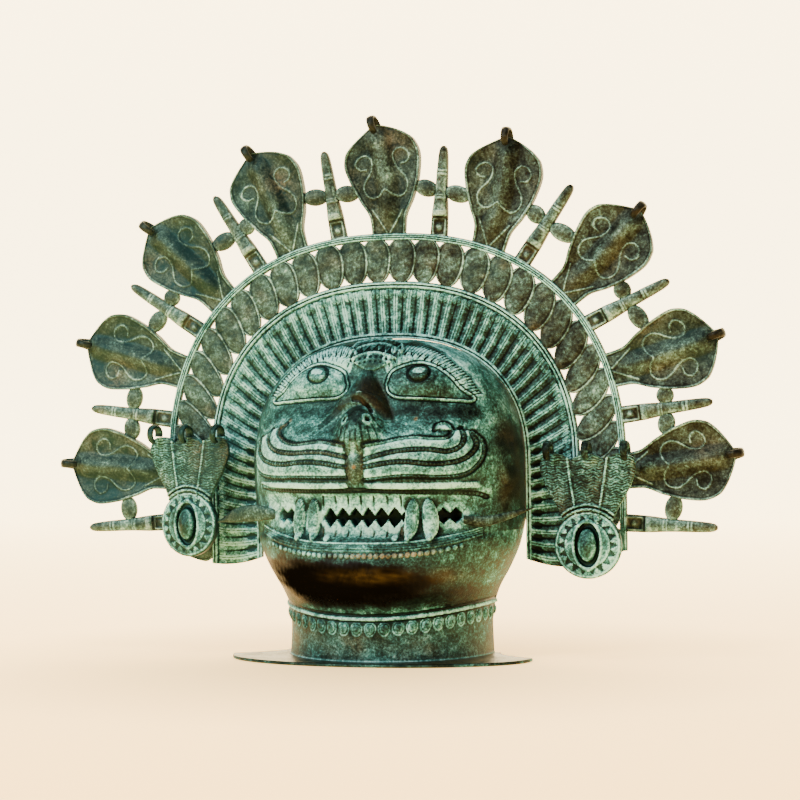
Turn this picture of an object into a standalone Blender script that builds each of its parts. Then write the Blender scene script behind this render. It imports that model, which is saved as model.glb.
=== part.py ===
"""A cast bronze tiger-spirit mask with an openwork crown, standing on its own collar."""
import math
import bpy
import bmesh
import numpy as np
from mathutils import Matrix, Vector
from mathutils.geometry import delaunay_2d_cdt

# Head: sizes in metres, x to the wearer's left, y to the back, z up from the underside
WALL = 0.003
HEAD_HALF_WIDTH = 0.119
HEAD_SPRING_Z = 0.163
HEAD_TOP_Z = 0.274
HEAD_ARCH_POWER = 2.4
COLLAR_HALF_WIDTH = 0.0895
COLLAR_DEPTH = 0.096
COLLAR_TOP_Z = 0.042
CHIN_DEPTH = 0.117
CHIN_Z = 0.070
LIP_DEPTH = 0.106
LOWER_LIP_Z = 0.104
TEETH_DEPTH = 0.100
MUZZLE_DEPTH = 0.114
MUZZLE_Z = 0.165
EYE_DEPTH = 0.074
BROW_Z = 0.248
BROW_DEPTH = 0.071
FLANGE_WIDTH = 0.0428
FLANGE_FRONT = 0.014
FLANGE_TIP_Y = -0.039
FLANGE_BACK = 0.006
FLANGE_TIP_SHARE = 0.70

# Face features
LIP_LINE_Z = 0.145
MOUTH_Z = 0.1235
MOUTH_HALF = 0.036
MOUTH_GAP = 0.007
MOUTH_POCKET = 0.016
MOUTH_POCKET_INSET = 0.0012
SIDE_GAP_X = 0.071
SIDE_GAP_HALF = 0.009
TEETH_HALF = 0.092
CANINE_X = 0.048
CANINE_HALF = 0.011
CANINE_RISE = 0.004
EYE_X = 0.045
EYE_Z = 0.236
EYE_HALF = 0.034
EYE_BULGE = 0.005
NOSE_TIP_Z = 0.216
NOSE_TOP_Z = 0.242
NOSE_RISE = 0.022
NOSE_HALF = 0.017
PAD_Z = 0.197
PAD_HALF = 0.021
PAD_RISE = 0.020
PHILTRUM_HALF = 0.009
PHILTRUM_RISE = 0.005
CORD_RISE = 0.0024
CORD_COUNT = 5
BLADE_LENGTH = 0.056
BLADE_WIDTH = 0.013
BLADE_THICKNESS = 0.003
BLADE_SWEEP = 0.016
MOUTH_CORNER_X = 0.089
COLLAR_BEADS = 22
COLLAR_BEAD_RADIUS = 0.0042
COLLAR_BEAD_Z = 0.033
COLLAR_BEAD_LIFT = 0.011

# Crown
CLEARANCE = 0.0003
RING1_HALF_WIDTH = 0.1635
RING1_TOP_Z = 0.321
RING2_HALF_WIDTH = 0.2035
RING2_TOP_Z = 0.363
RING_POWER = 2.3
CROWN_END_Z = 0.084
CROWN_END_RISE = 0.007
CROWN_END_SAG = 0.010
PLATE_FRONT = 0.0015
PLATE_BACK = 0.0020
RING_WIDTH = 0.0050
RING_RISE = 0.0022
RIB_COUNT = 54
RIB_RISE = 0.0016
RIB_START = 0.0036
RING_MARGIN = 0.0019
PETAL_COUNT = 34
PETAL_RISE = 0.0016
HOOD_PLACES = (-0.831, -0.603, -0.418, -0.225, 0, 0.225, 0.418, 0.613, 0.831)
HOOD_TURNS = (7, 0, 4.5, 3.5, 2, -1.5, 4.5, 5, -7)
SPIKE_PLACES = (-0.940, -0.711, -0.503, -0.306, -0.113, 0.113, 0.306, 0.503, 0.711, 0.940)
SPIKE_TURNS = (-4, 0, 0, -3, -2, -4, 4.5, 6, 0, 3)
HOOD_LENGTH = 0.0965
HOOD_BEND = 0.015
HOOD_HALF_WIDTH = 0.0342
HOOD_NECK_HALF = 0.0146
HOOD_EDGE = 0.0035
HOOD_EDGE_RISE = 0.0012
HOOD_KEEL_RISE = 0.0045
SPIKE_LENGTH = 0.080
SPIKE_ROOT_HALF = 0.0068
SPIKE_TIP_HALF = 0.0038
KNOB_RADIUS = 0.0066
KNOB_REACH = 0.041
KNOB_OVERLAP = 0.0020
CURL_RADIUS = 0.0070
CURL_HALF_WIDTH = 0.0030
CURL_TURN = math.radians(250)

# Ear ornaments
EAR_RING_SHARE = 0.3625
EAR_X = RING1_HALF_WIDTH + EAR_RING_SHARE * (RING2_HALF_WIDTH - RING1_HALF_WIDTH)
EAR_Y = -0.024
EAR_LEFT_Z = 0.0975
EAR_RIGHT_Z = 0.114
EAR_RIGHT_TURN = math.radians(13)
EAR_DISC_RADIUS = 0.0285
EAR_HOOD_TOP = 0.080
EAR_HOOD_HALF = 0.041
EAR_NECK_HALF = 0.020
EAR_HEAD_RISE = 0.010
EAR_RIDGE = 0.002
EAR_PLATE = 0.003
EAR_DOME = 0.006
EAR_BOSS_HALF_WIDTH = 0.0078
EAR_BOSS_HALF_HEIGHT = 0.0135
EAR_BOSS_RISE = 0.006
EAR_STEM_RADIUS = 0.008

SNAP = 1e-6
SLIVER = 1e-11


def clear_scene():
    """Removes whatever the scene holds."""
    for item in list(bpy.data.objects):
        bpy.data.objects.remove(item)


def bronze(name, colour, roughness):
    """A patinated bronze."""
    material = bpy.data.materials.new(name)
    material.use_nodes = True
    shader = material.node_tree.nodes["Principled BSDF"]
    shader.inputs["Base Color"].default_value = (*colour, 1)
    shader.inputs["Roughness"].default_value = roughness
    shader.inputs["Metallic"].default_value = 0.55
    return material


def smooth_curve(points, at):
    """A smooth, never overshooting curve through a few (place, value) points."""
    xs, ys = np.array(points, float).T
    steps = np.diff(xs)
    slopes = np.diff(ys) / steps
    tangents = np.zeros(len(xs))
    tangents[0], tangents[-1] = slopes[0], slopes[-1]
    for i in range(1, len(xs) - 1):
        if slopes[i - 1] * slopes[i] > 0:
            before = 2 * steps[i] + steps[i - 1]
            after = steps[i] + 2 * steps[i - 1]
            tangents[i] = (before + after) / (before / slopes[i - 1] + after / slopes[i])
    at = min(max(at, xs[0]), xs[-1])
    i = min(max(int(np.searchsorted(xs, at)) - 1, 0), len(steps) - 1)
    u = (at - xs[i]) / steps[i]
    start = (1 + 2 * u) * (1 - u) ** 2 * ys[i] + u * (1 - u) ** 2 * steps[i] * tangents[i]
    end = u * u * (3 - 2 * u) * ys[i + 1] + u * u * (u - 1) * steps[i] * tangents[i + 1]
    return start + end


def bump(distance, reach):
    """1 at distance 0, falling smoothly to 0 at the reach."""
    share = min(abs(distance) / reach, 1)
    return (1 - share * share) ** 2


def inside(point, loop):
    """Whether a flat point lies inside a closed loop."""
    x, y = point
    found = False
    for (x1, y1), (x2, y2) in zip(loop, loop[1:] + loop[:1]):
        if (y1 > y) != (y2 > y) and x < x1 + (y - y1) * (x2 - x1) / (y2 - y1):
            found = not found
    return found


def flat_mesh(loops, paths, dots, keep):
    """Flat triangles along closed loops, open paths and loose dots, where keep() accepts them.

    Every point is (a, b, lift), and the lift of each corner comes back with the triangles.
    """
    points, edges = [], []
    for closed, lines in ((True, loops), (False, paths)):
        for line in lines:
            first = len(points)
            comes_back = line[0] == line[-1]
            points += line[:-1] if comes_back else line
            last = len(points) - 1
            edges += [(i, i + 1) for i in range(first, last)]
            if closed or comes_back:
                edges.append((last, first))
    points += dots
    verts = [Vector(p[:2]) for p in points]
    coords, _, faces, origins, _, _ = delaunay_2d_cdt(verts, edges, [], 0, SNAP, True)
    corners = [(c.x, c.y, max([points[i][2] for i in source], key=abs, default=0))
               for c, source in zip(coords, origins)]
    kept = []
    for face in faces:
        one, two, three = (coords[i] for i in face)
        area = (two - one).cross(three - one)
        middle = (one + two + three) / 3
        if abs(area) > SLIVER and keep(middle.x, middle.y):
            kept.append(tuple(face) if area > 0 else tuple(reversed(face)))
    return corners, kept


def rim_edges(faces):
    """The directed edges that only one triangle uses."""
    sides = {(a, b) for f in faces for a, b in zip(f, f[1:] + f[:1])}
    return [(a, b) for a, b in sides if (b, a) not in sides]


def thick_sheet(corners, faces, front, back, keep, back_lines=()):
    """A closed mesh between a front and a back surface that share one flat outline."""
    rim = rim_edges(faces)
    rim_corners = sorted({i for edge in rim for i in edge})
    place = {old: new for new, old in enumerate(rim_corners)}
    points = [(*corners[i][:2], 0) for i in rim_corners]
    edges = [(place[a], place[b]) for a, b in rim]
    for line in back_lines:
        first = len(points)
        comes_back = line[0] == line[-1]
        points += line[:-1] if comes_back else line
        last = len(points) - 1
        edges += [(i, i + 1) for i in range(first, last)] + ([(last, first)] if comes_back else [])
    verts = [Vector(p[:2]) for p in points]
    coords, _, triangles, origins, _, _ = delaunay_2d_cdt(verts, edges, [], 0, SNAP, True)
    back_place = {rim_corners[i]: index for index, source in enumerate(origins)
                  for i in source if i < len(rim_corners)}
    mesh = bmesh.new()
    front_verts = {i: mesh.verts.new(front(*corners[i])) for i in sorted({i for f in faces for i in f})}
    back_verts = {}
    for face in faces:
        mesh.faces.new([front_verts[i] for i in face])
    for face in triangles:
        one, two, three = (coords[i] for i in face)
        middle = (one + two + three) / 3
        area = (two - one).cross(three - one)
        if abs(area) <= SLIVER or not keep(middle.x, middle.y):
            continue
        for i in face:
            if i not in back_verts:
                lift = max([points[j][2] for j in origins[i]], key=abs, default=0)
                back_verts[i] = mesh.verts.new(back(coords[i].x, coords[i].y, lift))
        mesh.faces.new([back_verts[i] for i in (reversed(face) if area > 0 else face)])
    for a, b in rim:
        far_a, far_b = back_verts[back_place[a]], back_verts[back_place[b]]
        mesh.faces.new([front_verts[b], front_verts[a], far_a, far_b])
    bmesh.ops.recalc_face_normals(mesh, faces=mesh.faces)
    return mesh


def new_object(name, mesh, material):
    """Puts a bmesh in the scene under a name, shaded smooth where it is round."""
    data = bpy.data.meshes.new(name)
    mesh.to_mesh(data)
    mesh.free()
    data.materials.append(material)
    data.shade_smooth()
    data.set_sharp_from_angle(angle=math.radians(35))
    item = bpy.data.objects.new(name, data)
    bpy.context.scene.collection.objects.link(item)
    return item


def add_shape(item, mesh):
    """Unites another closed shape with an object."""
    data = bpy.data.meshes.new(item.name + "_added")
    mesh.to_mesh(data)
    mesh.free()
    cutter = bpy.data.objects.new(item.name + "_added", data)
    bpy.context.scene.collection.objects.link(cutter)
    cutter.hide_render = True
    cutter.display_type = "WIRE"
    union = item.modifiers.new("union", "BOOLEAN")
    union.operation = "UNION"
    union.solver = "EXACT"
    union.object = cutter


def tube(path, radii, sides):
    """A closed round tube along a path of points."""
    mesh = bmesh.new()
    points = [Vector(p) for p in path]
    rings = []
    for i, point in enumerate(points):
        along = (points[min(i + 1, len(points) - 1)] - points[max(i - 1, 0)]).normalized()
        aside = along.cross(Vector((0.3, 0.9, 0.2))).normalized()
        up = along.cross(aside)
        turns = [2 * math.pi * k / sides for k in range(sides)]
        rings.append([mesh.verts.new(point + (aside * math.cos(a) + up * math.sin(a)) * radii[i])
                      for a in turns])
    for lower, upper in zip(rings, rings[1:]):
        for k in range(sides):
            mesh.faces.new([lower[k - 1], lower[k], upper[k], upper[k - 1]])
    mesh.faces.new(rings[0])
    mesh.faces.new(rings[-1])
    bmesh.ops.recalc_face_normals(mesh, faces=mesh.faces)
    return mesh


# The head's bare form: half-width, front depth and squareness at each height

def arch(half_width, top_z, power, z):
    """Half-width of an arch with straight legs at a height."""
    if z <= HEAD_SPRING_Z:
        return half_width
    share = min((z - HEAD_SPRING_Z) / (top_z - HEAD_SPRING_Z), 1)
    return half_width * max(1 - share ** power, 0) ** (1 / power)


def head_width(z):
    """Half-width of the head at its open back."""
    if z > CHIN_Z + 0.05:
        return arch(HEAD_HALF_WIDTH, HEAD_TOP_Z, HEAD_ARCH_POWER, z)
    jaw = HEAD_HALF_WIDTH - COLLAR_HALF_WIDTH
    shape = [(0, COLLAR_HALF_WIDTH), (COLLAR_TOP_Z - 0.012, COLLAR_HALF_WIDTH - 0.001),
             (COLLAR_TOP_Z + 0.004, COLLAR_HALF_WIDTH + 0.001),
             (CHIN_Z - 0.012, COLLAR_HALF_WIDTH + 0.16 * jaw), (CHIN_Z + 0.008, HEAD_HALF_WIDTH - 0.47 * jaw),
             (CHIN_Z + 0.030, HEAD_HALF_WIDTH - 0.16 * jaw), (CHIN_Z + 0.050, HEAD_HALF_WIDTH)]
    return smooth_curve(shape, z)


def head_depth(z):
    """How far the middle of the front stands before the open back."""
    if z > BROW_Z:
        share = min((z - BROW_Z) / (HEAD_TOP_Z - BROW_Z), 1)
        return BROW_DEPTH * max(1 - share ** 2.4, 0) ** (1 / 2.4)
    profile = [(0, COLLAR_DEPTH), (COLLAR_TOP_Z - 0.010, COLLAR_DEPTH - 0.001),
               (COLLAR_TOP_Z, COLLAR_DEPTH), (COLLAR_TOP_Z + 0.008, COLLAR_DEPTH + 0.006),
               (CHIN_Z - 0.008, CHIN_DEPTH - 0.004), (CHIN_Z + 0.008, CHIN_DEPTH),
               (CHIN_Z + 0.022, CHIN_DEPTH - 0.002), (LOWER_LIP_Z, LIP_DEPTH + 0.004),
               (LOWER_LIP_Z + 0.006, LIP_DEPTH - 0.003), (MOUTH_Z, TEETH_DEPTH),
               (LIP_LINE_Z - 0.006, TEETH_DEPTH + 0.002), (LIP_LINE_Z + 0.002, MUZZLE_DEPTH - 0.005),
               (MUZZLE_Z, MUZZLE_DEPTH), (MUZZLE_Z + 0.020, MUZZLE_DEPTH - 0.005),
               (PAD_Z + 0.001, MUZZLE_DEPTH - 0.017), (NOSE_TIP_Z - 0.006, EYE_DEPTH + 0.010),
               (EYE_Z - 0.014, EYE_DEPTH + 0.002), (EYE_Z - 0.004, EYE_DEPTH), (BROW_Z, BROW_DEPTH)]
    return smooth_curve(profile, z)


def head_power(z):
    """Squareness of the horizontal section: 2 is an ellipse."""
    return smooth_curve([(0, 2.0), (CHIN_Z - 0.008, 2.0), (LOWER_LIP_Z + 0.01, 2.2), (MUZZLE_Z + 0.02, 2.2),
                         (EYE_Z - 0.006, 2.9), (HEAD_TOP_Z, 2.6)], z)


def collar_edge(level):
    """One half of the section at a level of the head or collar."""
    z = max(level, 0) + WALL
    width, depth, power = head_width(z), head_depth(z), head_power(z)
    turns = np.linspace(0, math.pi / 2, 49)
    lean = 2 / power
    return width * np.sin(turns) ** lean, PLATE_BACK - depth * np.cos(turns) ** lean


def flange_edge():
    """One half of the flange's outer edge: round in front to a pointed tip at the side, then back."""
    tip = COLLAR_HALF_WIDTH + FLANGE_WIDTH
    front = COLLAR_DEPTH + FLANGE_FRONT
    shares = np.linspace(0, 1, 49)
    turn = np.minimum(shares / FLANGE_TIP_SHARE, 1) * math.pi / 2
    homeward = np.maximum(shares - FLANGE_TIP_SHARE, 0) / (1 - FLANGE_TIP_SHARE)
    bend = homeward * (2 - homeward)
    xs = tip * np.sin(turn) + (COLLAR_HALF_WIDTH + FLANGE_BACK - tip) * bend
    ys = FLANGE_TIP_Y - (front + FLANGE_TIP_Y) * np.cos(turn) + (PLATE_BACK - FLANGE_TIP_Y) * homeward
    return xs, ys


def section(level):
    """Points of one half of the section at a level, and their running length.

    Level 0 is where the collar meets the flange's top. Levels under 0 run out over the flange.
    """
    xs, ys = collar_edge(level)
    if level < 0:
        spread = min(-level / FLANGE_WIDTH, 1)
        edge_xs, edge_ys = flange_edge()
        xs, ys = xs + (edge_xs - xs) * spread, ys + (edge_ys - ys) * spread
    run = np.concatenate([[0], np.cumsum(np.hypot(np.diff(xs), np.diff(ys)))])
    return xs, ys, run


def base_point(s, level):
    """The bare form at a run s around the section and a level."""
    xs, ys, run = section(level)
    x = math.copysign(np.interp(abs(s), run, xs), s)
    return Vector((x, np.interp(abs(s), run, ys), max(level, 0) + WALL))


def outward(s, level):
    """Direction out of the bare form."""
    step = 0.0008
    if level < -step:
        return Vector((0, 0, 1))
    if abs(level) <= step:
        side = (base_point(s + step, 0) - base_point(s - step, 0)).cross(Vector((0, 0, 1)))
        return (side.normalized() + Vector((0, 0, 1))).normalized()
    low, high = max(level - step, 0), min(level + step, HEAD_TOP_Z - WALL)
    across = base_point(s + step, level) - base_point(s - step, level)
    normal = across.cross(base_point(s, high) - base_point(s, low))
    if normal.length < 1e-12:
        return Vector((0, -0.7, 0.7))
    return normal.normalized()


def run_at(x, z):
    """The run around the section where it reaches a distance x from the middle."""
    xs, _, run = section(z - WALL)
    return math.copysign(np.interp(abs(x), xs, run), x)


# Carving on the head, each worked out in x and z as seen from the front

OUTER_CORD = [(0.009, 0.152), (0.039, 0.154), (0.070, 0.154), (0.088, 0.158), (0.098, 0.167),
              (0.100, 0.178), (0.096, 0.188), (0.089, 0.194)]
INNER_CORD = [(0.009, 0.180), (0.026, 0.186), (0.046, 0.190), (0.062, 0.189), (0.072, 0.191),
              (0.075, 0.196), (0.070, 0.201), (0.062, 0.200)]


def form(x, z):
    """The large forms that stand out of the bare head: nose, pad, philtrum and eyeballs."""
    down = min(max((NOSE_TOP_Z - z) / (NOSE_TOP_Z - NOSE_TIP_Z), 0), 1)
    fade = bump(z - NOSE_TIP_Z, 0.012) if z < NOSE_TIP_Z else 1
    nose = NOSE_RISE * down * fade * bump(x, nose_half(z) * 1.5)
    pad = PAD_RISE * bump(math.hypot(x / PAD_HALF, (z - PAD_Z) / PAD_HALF), 1.15)
    middle = LIP_LINE_Z + 0.022
    philtrum = PHILTRUM_RISE * bump(math.hypot(x / PHILTRUM_HALF, (z - middle) / 0.020), 1.2)
    eye = EYE_BULGE * bump(math.hypot((abs(x) - EYE_X) / EYE_HALF, (z - EYE_Z) / 0.018), 1.1)
    return max(nose, pad, philtrum) + eye


def nose_half(z):
    """Half-width of the nose bridge, which widens downwards."""
    down = min(max((NOSE_TOP_Z - z) / (NOSE_TOP_Z - NOSE_TIP_Z), 0), 1)
    return NOSE_HALF * (0.3 + 0.7 * down)


def mirrored(lines):
    """The lines and their mirror images."""
    return lines + [[(-x, z, lift) for x, z, lift in line] for line in lines]


def ring(x, z, half_x, half_z, lift, sides):
    """A closed ellipse as an open path that ends where it starts."""
    turns = [2 * math.pi * i / sides for i in range(sides)]
    points = [(x + half_x * math.cos(a), z + half_z * math.sin(a), lift) for a in turns]
    return points + points[:1]


def moustache():
    """The cords of the moustache, which run out from the philtrum and curl up and in."""
    lines = []
    count = 2 * CORD_COUNT - 1
    for row in range(count):
        share = row / (count - 1)
        crest = CORD_RISE if row % 2 == 0 else 0
        last = len(OUTER_CORD) - 1
        lines.append([(ox + (ix - ox) * share, oz + (iz - oz) * share, crest if 0 < i < last else 0)
                      for i, ((ox, oz), (ix, iz)) in enumerate(zip(OUTER_CORD, INNER_CORD))])
    return mirrored(lines)


def eye_outline(scale, lift):
    """The almond of an eye, from its inner corner to its outer, lower corner and back."""
    upper, lower = [], []
    for step in range(9):
        share = step / 8
        x = EYE_X + scale * (-0.029 + 0.072 * share)
        z = EYE_Z - 0.004 - 0.012 * share
        upper.append((x, z + scale * 0.023 * math.sin(math.pi * share ** 0.8), lift))
        lower.append((x, z - scale * 0.007 * math.sin(math.pi * share), lift))
    return upper + lower[-2:0:-1] + upper[:1]


def eyes():
    """Eyeball, lid and iris of both eyes."""
    iris = ring(EYE_X, EYE_Z + 0.005, 0.008, 0.008, 0.001, 8)
    middle = [(EYE_X, EYE_Z + 0.002 + 0.006 * i, 0.0025) for i in range(2)]
    return mirrored([eye_outline(1, 0), eye_outline(1.1, 0.0018), eye_outline(1.22, 0), iris, middle])


def nose():
    """Bridge, tip and pad of the nose."""
    heights = [NOSE_TOP_Z + (NOSE_TIP_Z - NOSE_TOP_Z) * i / 3 for i in range(4)]
    sides = [[(nose_half(z) * share, z, 0) for z in heights] for share in (0.7, 1.5)]
    middle = [(0, z, 0) for z in heights]
    slit = [[(x, NOSE_TIP_Z - 0.006, -0.003) for x in (-0.010, 0, 0.010)]]
    pads = [ring(0, PAD_Z, PAD_HALF * share, PAD_HALF * share, 0, 12) for share in (0.45, 0.8, 1.15)]
    low = ring(0, LIP_LINE_Z + 0.022, PHILTRUM_HALF, 0.019, 0, 8)
    return mirrored(sides) + [middle, low] + slit + pads


def canines():
    """Two pairs of long leaf-shaped teeth over the gap."""
    lines = []
    for x in (CANINE_X - 0.55 * CANINE_HALF, CANINE_X + 0.55 * CANINE_HALF):
        lines.append(ring(x, MOUTH_Z, 0.45 * CANINE_HALF, 0.016, 0, 8))
        lines.append([(x, MOUTH_Z + z, CANINE_RISE) for z in (-0.008, 0.008)])
    return mirrored(lines)


def mouth_gaps(inset, lift):
    """The zigzag gap between the front teeth, and a small gap beyond each canine."""
    teeth = 12
    top, bottom = [], []
    for i in range(teeth + 1):
        x = -MOUTH_HALF + inset + (2 * MOUTH_HALF - 2 * inset) * i / teeth
        tip = 0.5 if i % 2 else 1
        top.append((x, MOUTH_Z + MOUTH_GAP * tip - inset, lift))
        bottom.append((x, MOUTH_Z - MOUTH_GAP * tip + inset, lift))
    gaps = [top + bottom[::-1]]
    for side in (-1, 1):
        middle = side * SIDE_GAP_X
        gaps.append([(middle + x * (SIDE_GAP_HALF - inset), MOUTH_Z + 0.001 + z * (0.0045 - inset), lift)
                     for x, z in ((-1, 1), (0, 0.5), (1, 1), (1, -1), (0, -0.5), (-1, -1))])
    return gaps


def collar_beads():
    """A row of beads round the top of the collar, which rises towards the sides."""
    lines, dots = [], []
    half_run = run_at(COLLAR_HALF_WIDTH - 0.004, COLLAR_BEAD_Z)
    for i in range(COLLAR_BEADS):
        share = -1 + 2 * (i + 0.5) / COLLAR_BEADS
        level = COLLAR_BEAD_Z + COLLAR_BEAD_LIFT * share * share - WALL
        radius = COLLAR_BEAD_RADIUS
        lines.append(ring(share * half_run, level, radius, radius, 0, 6))
        dots.append((share * half_run, level, 0.75 * radius))
    return lines, dots


def flattened(lines):
    """Lines drawn in x and z, laid on the head's flat pattern."""
    return [[(run_at(x, z), z - WALL, lift) for x, z, lift in line] for line in lines]


def head_outline():
    """The head's flat pattern: flange edge, both back edges and the top of the forehead."""
    levels = [-FLANGE_WIDTH, -0.66 * FLANGE_WIDTH, -0.33 * FLANGE_WIDTH, 0, 0.018, 0.032, 0.042, 0.052,
              0.062, 0.074, 0.090, 0.110, 0.130, 0.150, 0.170, 0.188, 0.206, 0.222, 0.236, 0.248,
              0.257, 0.264, HEAD_TOP_Z - WALL - 0.0008]
    half_runs = [section(level)[2][-1] for level in levels]
    edge_points = 32
    bottom = [(half_runs[0] * (2 * i / edge_points - 1), levels[0], 0) for i in range(edge_points)]
    right = [(run, level, 0) for run, level in zip(half_runs, levels)]
    left = [(-run, level, 0) for run, level in zip(half_runs[:0:-1], levels[:0:-1])]
    return bottom + right + left


def spread_dots(outline, taken, spacing):
    """Loose dots over the pattern, away from the lines that are already there."""
    dots = []
    low, high = min(p[1] for p in outline), max(p[1] for p in outline)
    rows = int((high - low) / spacing)
    flat = [p[:2] for p in outline]
    for row in range(1, rows):
        level = low + (high - low) * row / rows
        for column in range(-16, 17):
            s = (column + 0.5 * (row % 2)) * spacing
            nearest = min(math.hypot(s - p[0], level - p[1]) for p in taken)
            if nearest > 0.55 * spacing and inside((s, level), flat):
                dots.append((s, level, 0))
    return dots


def head_point(s, level, lift):
    """A point on the outer face of the head."""
    base = base_point(s, level)
    if level < 0:
        return base
    return base + outward(s, level) * (form(base.x, base.z) + lift)


def head_inner_point(s, level, lift):
    """A point on the inner face of the head, one wall inside the large forms."""
    base = base_point(s, level)
    if level <= -WALL:
        return Vector((base.x, base.y, base.z - WALL))
    if level < 0.001:
        flat = outward(s, 0.002)
        corner = base_point(s, 0) - Vector((flat.x, flat.y, 0)).normalized() * WALL
        return Vector((corner.x, corner.y, 0))
    inner = base + outward(s, level) * (0.8 * form(base.x, base.z) + lift - WALL)
    inner.y = min(inner.y, PLATE_BACK)
    return inner


def build_head(material):
    """Face, collar and flange as one hollow shell, open at the back."""
    outline = head_outline()
    flat = [p[:2] for p in outline]
    gaps = flattened(mouth_gaps(0, 0))
    floors = flattened(mouth_gaps(MOUTH_POCKET_INSET, -MOUTH_POCKET))
    lines = flattened(moustache() + eyes() + nose() + canines())
    half_teeth = TEETH_HALF
    for z in (LOWER_LIP_Z - 0.001, LOWER_LIP_Z + 0.007, LIP_LINE_Z - 0.006, LIP_LINE_Z + 0.001):
        lines += flattened([[(half_teeth * (i / 7 - 1), z, 0) for i in range(15)]])
    bead_lines, bead_dots = collar_beads()
    half_runs = {level: section(level)[2][-1] for level in (0, -WALL)}
    collar_foot = [(half_runs[0] * (i / 14 - 1), 0, 0) for i in range(29)]
    taken = [p for line in lines + gaps + bead_lines + [outline, collar_foot] for p in line]
    dots = bead_dots + spread_dots(outline, taken, 0.0135)

    def keep(s, level):
        return inside((s, level), flat)

    corners, faces = flat_mesh([outline] + gaps + floors, lines + bead_lines + [collar_foot], dots, keep)
    inner_lines = []
    for row in range(1, 15):
        level = 0.002 + (HEAD_TOP_Z - WALL - 0.006) * row / 15
        run = section(level)[2][-1]
        inner_lines.append([(run * 0.93 * (i / 8 - 1), level, 0) for i in range(17)])
    reach = MOUTH_GAP + WALL
    for margin, lift in ((0.0015, 0), (0, -MOUTH_POCKET)):
        for middle, half in ((0, MOUTH_HALF), (-SIDE_GAP_X, SIDE_GAP_HALF), (SIDE_GAP_X, SIDE_GAP_HALF)):
            half_x, half_z = half + 0.0012 + margin, reach + margin
            box = [(-1, -1), (1, -1), (1, 1), (-1, 1), (-1, -1)]
            inner_lines += flattened([[(middle + x * half_x, MOUTH_Z + z * half_z, lift) for x, z in box]])
    for level in (0, -WALL):
        inner_lines.append([(half_runs[level] * 0.985 * (i / 14 - 1), level, 0) for i in range(29)])
    mesh = thick_sheet(corners, faces, head_point, head_inner_point, keep, inner_lines)
    head = new_object("mask_head", mesh, material)
    for side in (-1, 1):
        add_shape(head, mouth_blade(side))
    return head


def mouth_blade(side):
    """A leaf-shaped blade that stands out sideways from a corner of the mouth."""
    mesh = bmesh.new()
    sides = 8
    root = head_point(run_at(MOUTH_CORNER_X - 0.004, MOUTH_Z), MOUTH_Z - WALL, -0.5 * WALL)
    start = Vector((side * root.x, root.y, root.z))
    rings = []
    for step in range(8):
        share = step / 7
        sweep = BLADE_SWEEP * (0.4 * share + 0.6 * share * share)
        middle = start + Vector((side * BLADE_LENGTH * share, sweep, 0.002 * share))
        leaf = smooth_curve([(0, 0.55), (0.15, 0.7), (0.5, 1), (0.85, 0.6), (1, 0.12)], share)
        half = 0.5 * BLADE_WIDTH * leaf
        thick = 0.5 * BLADE_THICKNESS * (1 - 0.6 * share)
        turns = [2 * math.pi * k / sides for k in range(sides)]
        rings.append([mesh.verts.new(middle + Vector((0, thick * math.cos(a), half * math.sin(a))))
                      for a in turns])
    for lower, upper in zip(rings, rings[1:]):
        for k in range(sides):
            mesh.faces.new([lower[k - 1], lower[k], upper[k], upper[k - 1]])
    mesh.faces.new(rings[0])
    mesh.faces.new(rings[-1])
    bmesh.ops.recalc_face_normals(mesh, faces=mesh.faces)
    return mesh


# Crown: a flat openwork plate drawn in x and z

def crown_curve(ring_place):
    """Half of an arch of the crown, from its top down its leg: points and their running length.

    Ring place 0 is the edge round the head, 1 the inner ring and 2 the outer ring.
    """
    places = (0, 1, 2)
    half = np.interp(ring_place, places, (HEAD_HALF_WIDTH + CLEARANCE, RING1_HALF_WIDTH, RING2_HALF_WIDTH))
    top = np.interp(ring_place, places, (HEAD_TOP_Z + CLEARANCE, RING1_TOP_Z, RING2_TOP_Z))
    power = np.interp(ring_place, places, (HEAD_ARCH_POWER, RING_POWER, RING_POWER))
    if ring_place > 2:
        beyond = (ring_place - 2) * (RING2_HALF_WIDTH - RING1_HALF_WIDTH)
        half, top = half + beyond, top + beyond
    out = (half - HEAD_HALF_WIDTH) / (RING2_HALF_WIDTH - HEAD_HALF_WIDTH)
    end = CROWN_END_Z + CROWN_END_RISE * out - 4 * CROWN_END_SAG * out * (1 - min(out, 1))
    turns = np.linspace(0, math.pi / 2, 121)
    xs = half * np.sin(turns) ** (2 / power)
    zs = HEAD_SPRING_Z + (top - HEAD_SPRING_Z) * np.cos(turns) ** (2 / power)
    xs, zs = np.append(xs, half), np.append(zs, end)
    run = np.concatenate([[0], np.cumsum(np.hypot(np.diff(xs), np.diff(zs)))])
    return xs, zs, run


CURVES = {}


def crown_point(ring_place, share, lift=0):
    """A point on an arch of the crown, at a share of its half-length left or right of the top."""
    key = round(ring_place, 4)
    if key not in CURVES:
        CURVES[key] = crown_curve(ring_place)
    xs, zs, run = CURVES[key]
    at = abs(share) * run[-1]
    return (math.copysign(np.interp(at, run, xs), share), float(np.interp(at, run, zs)), lift)


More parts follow.
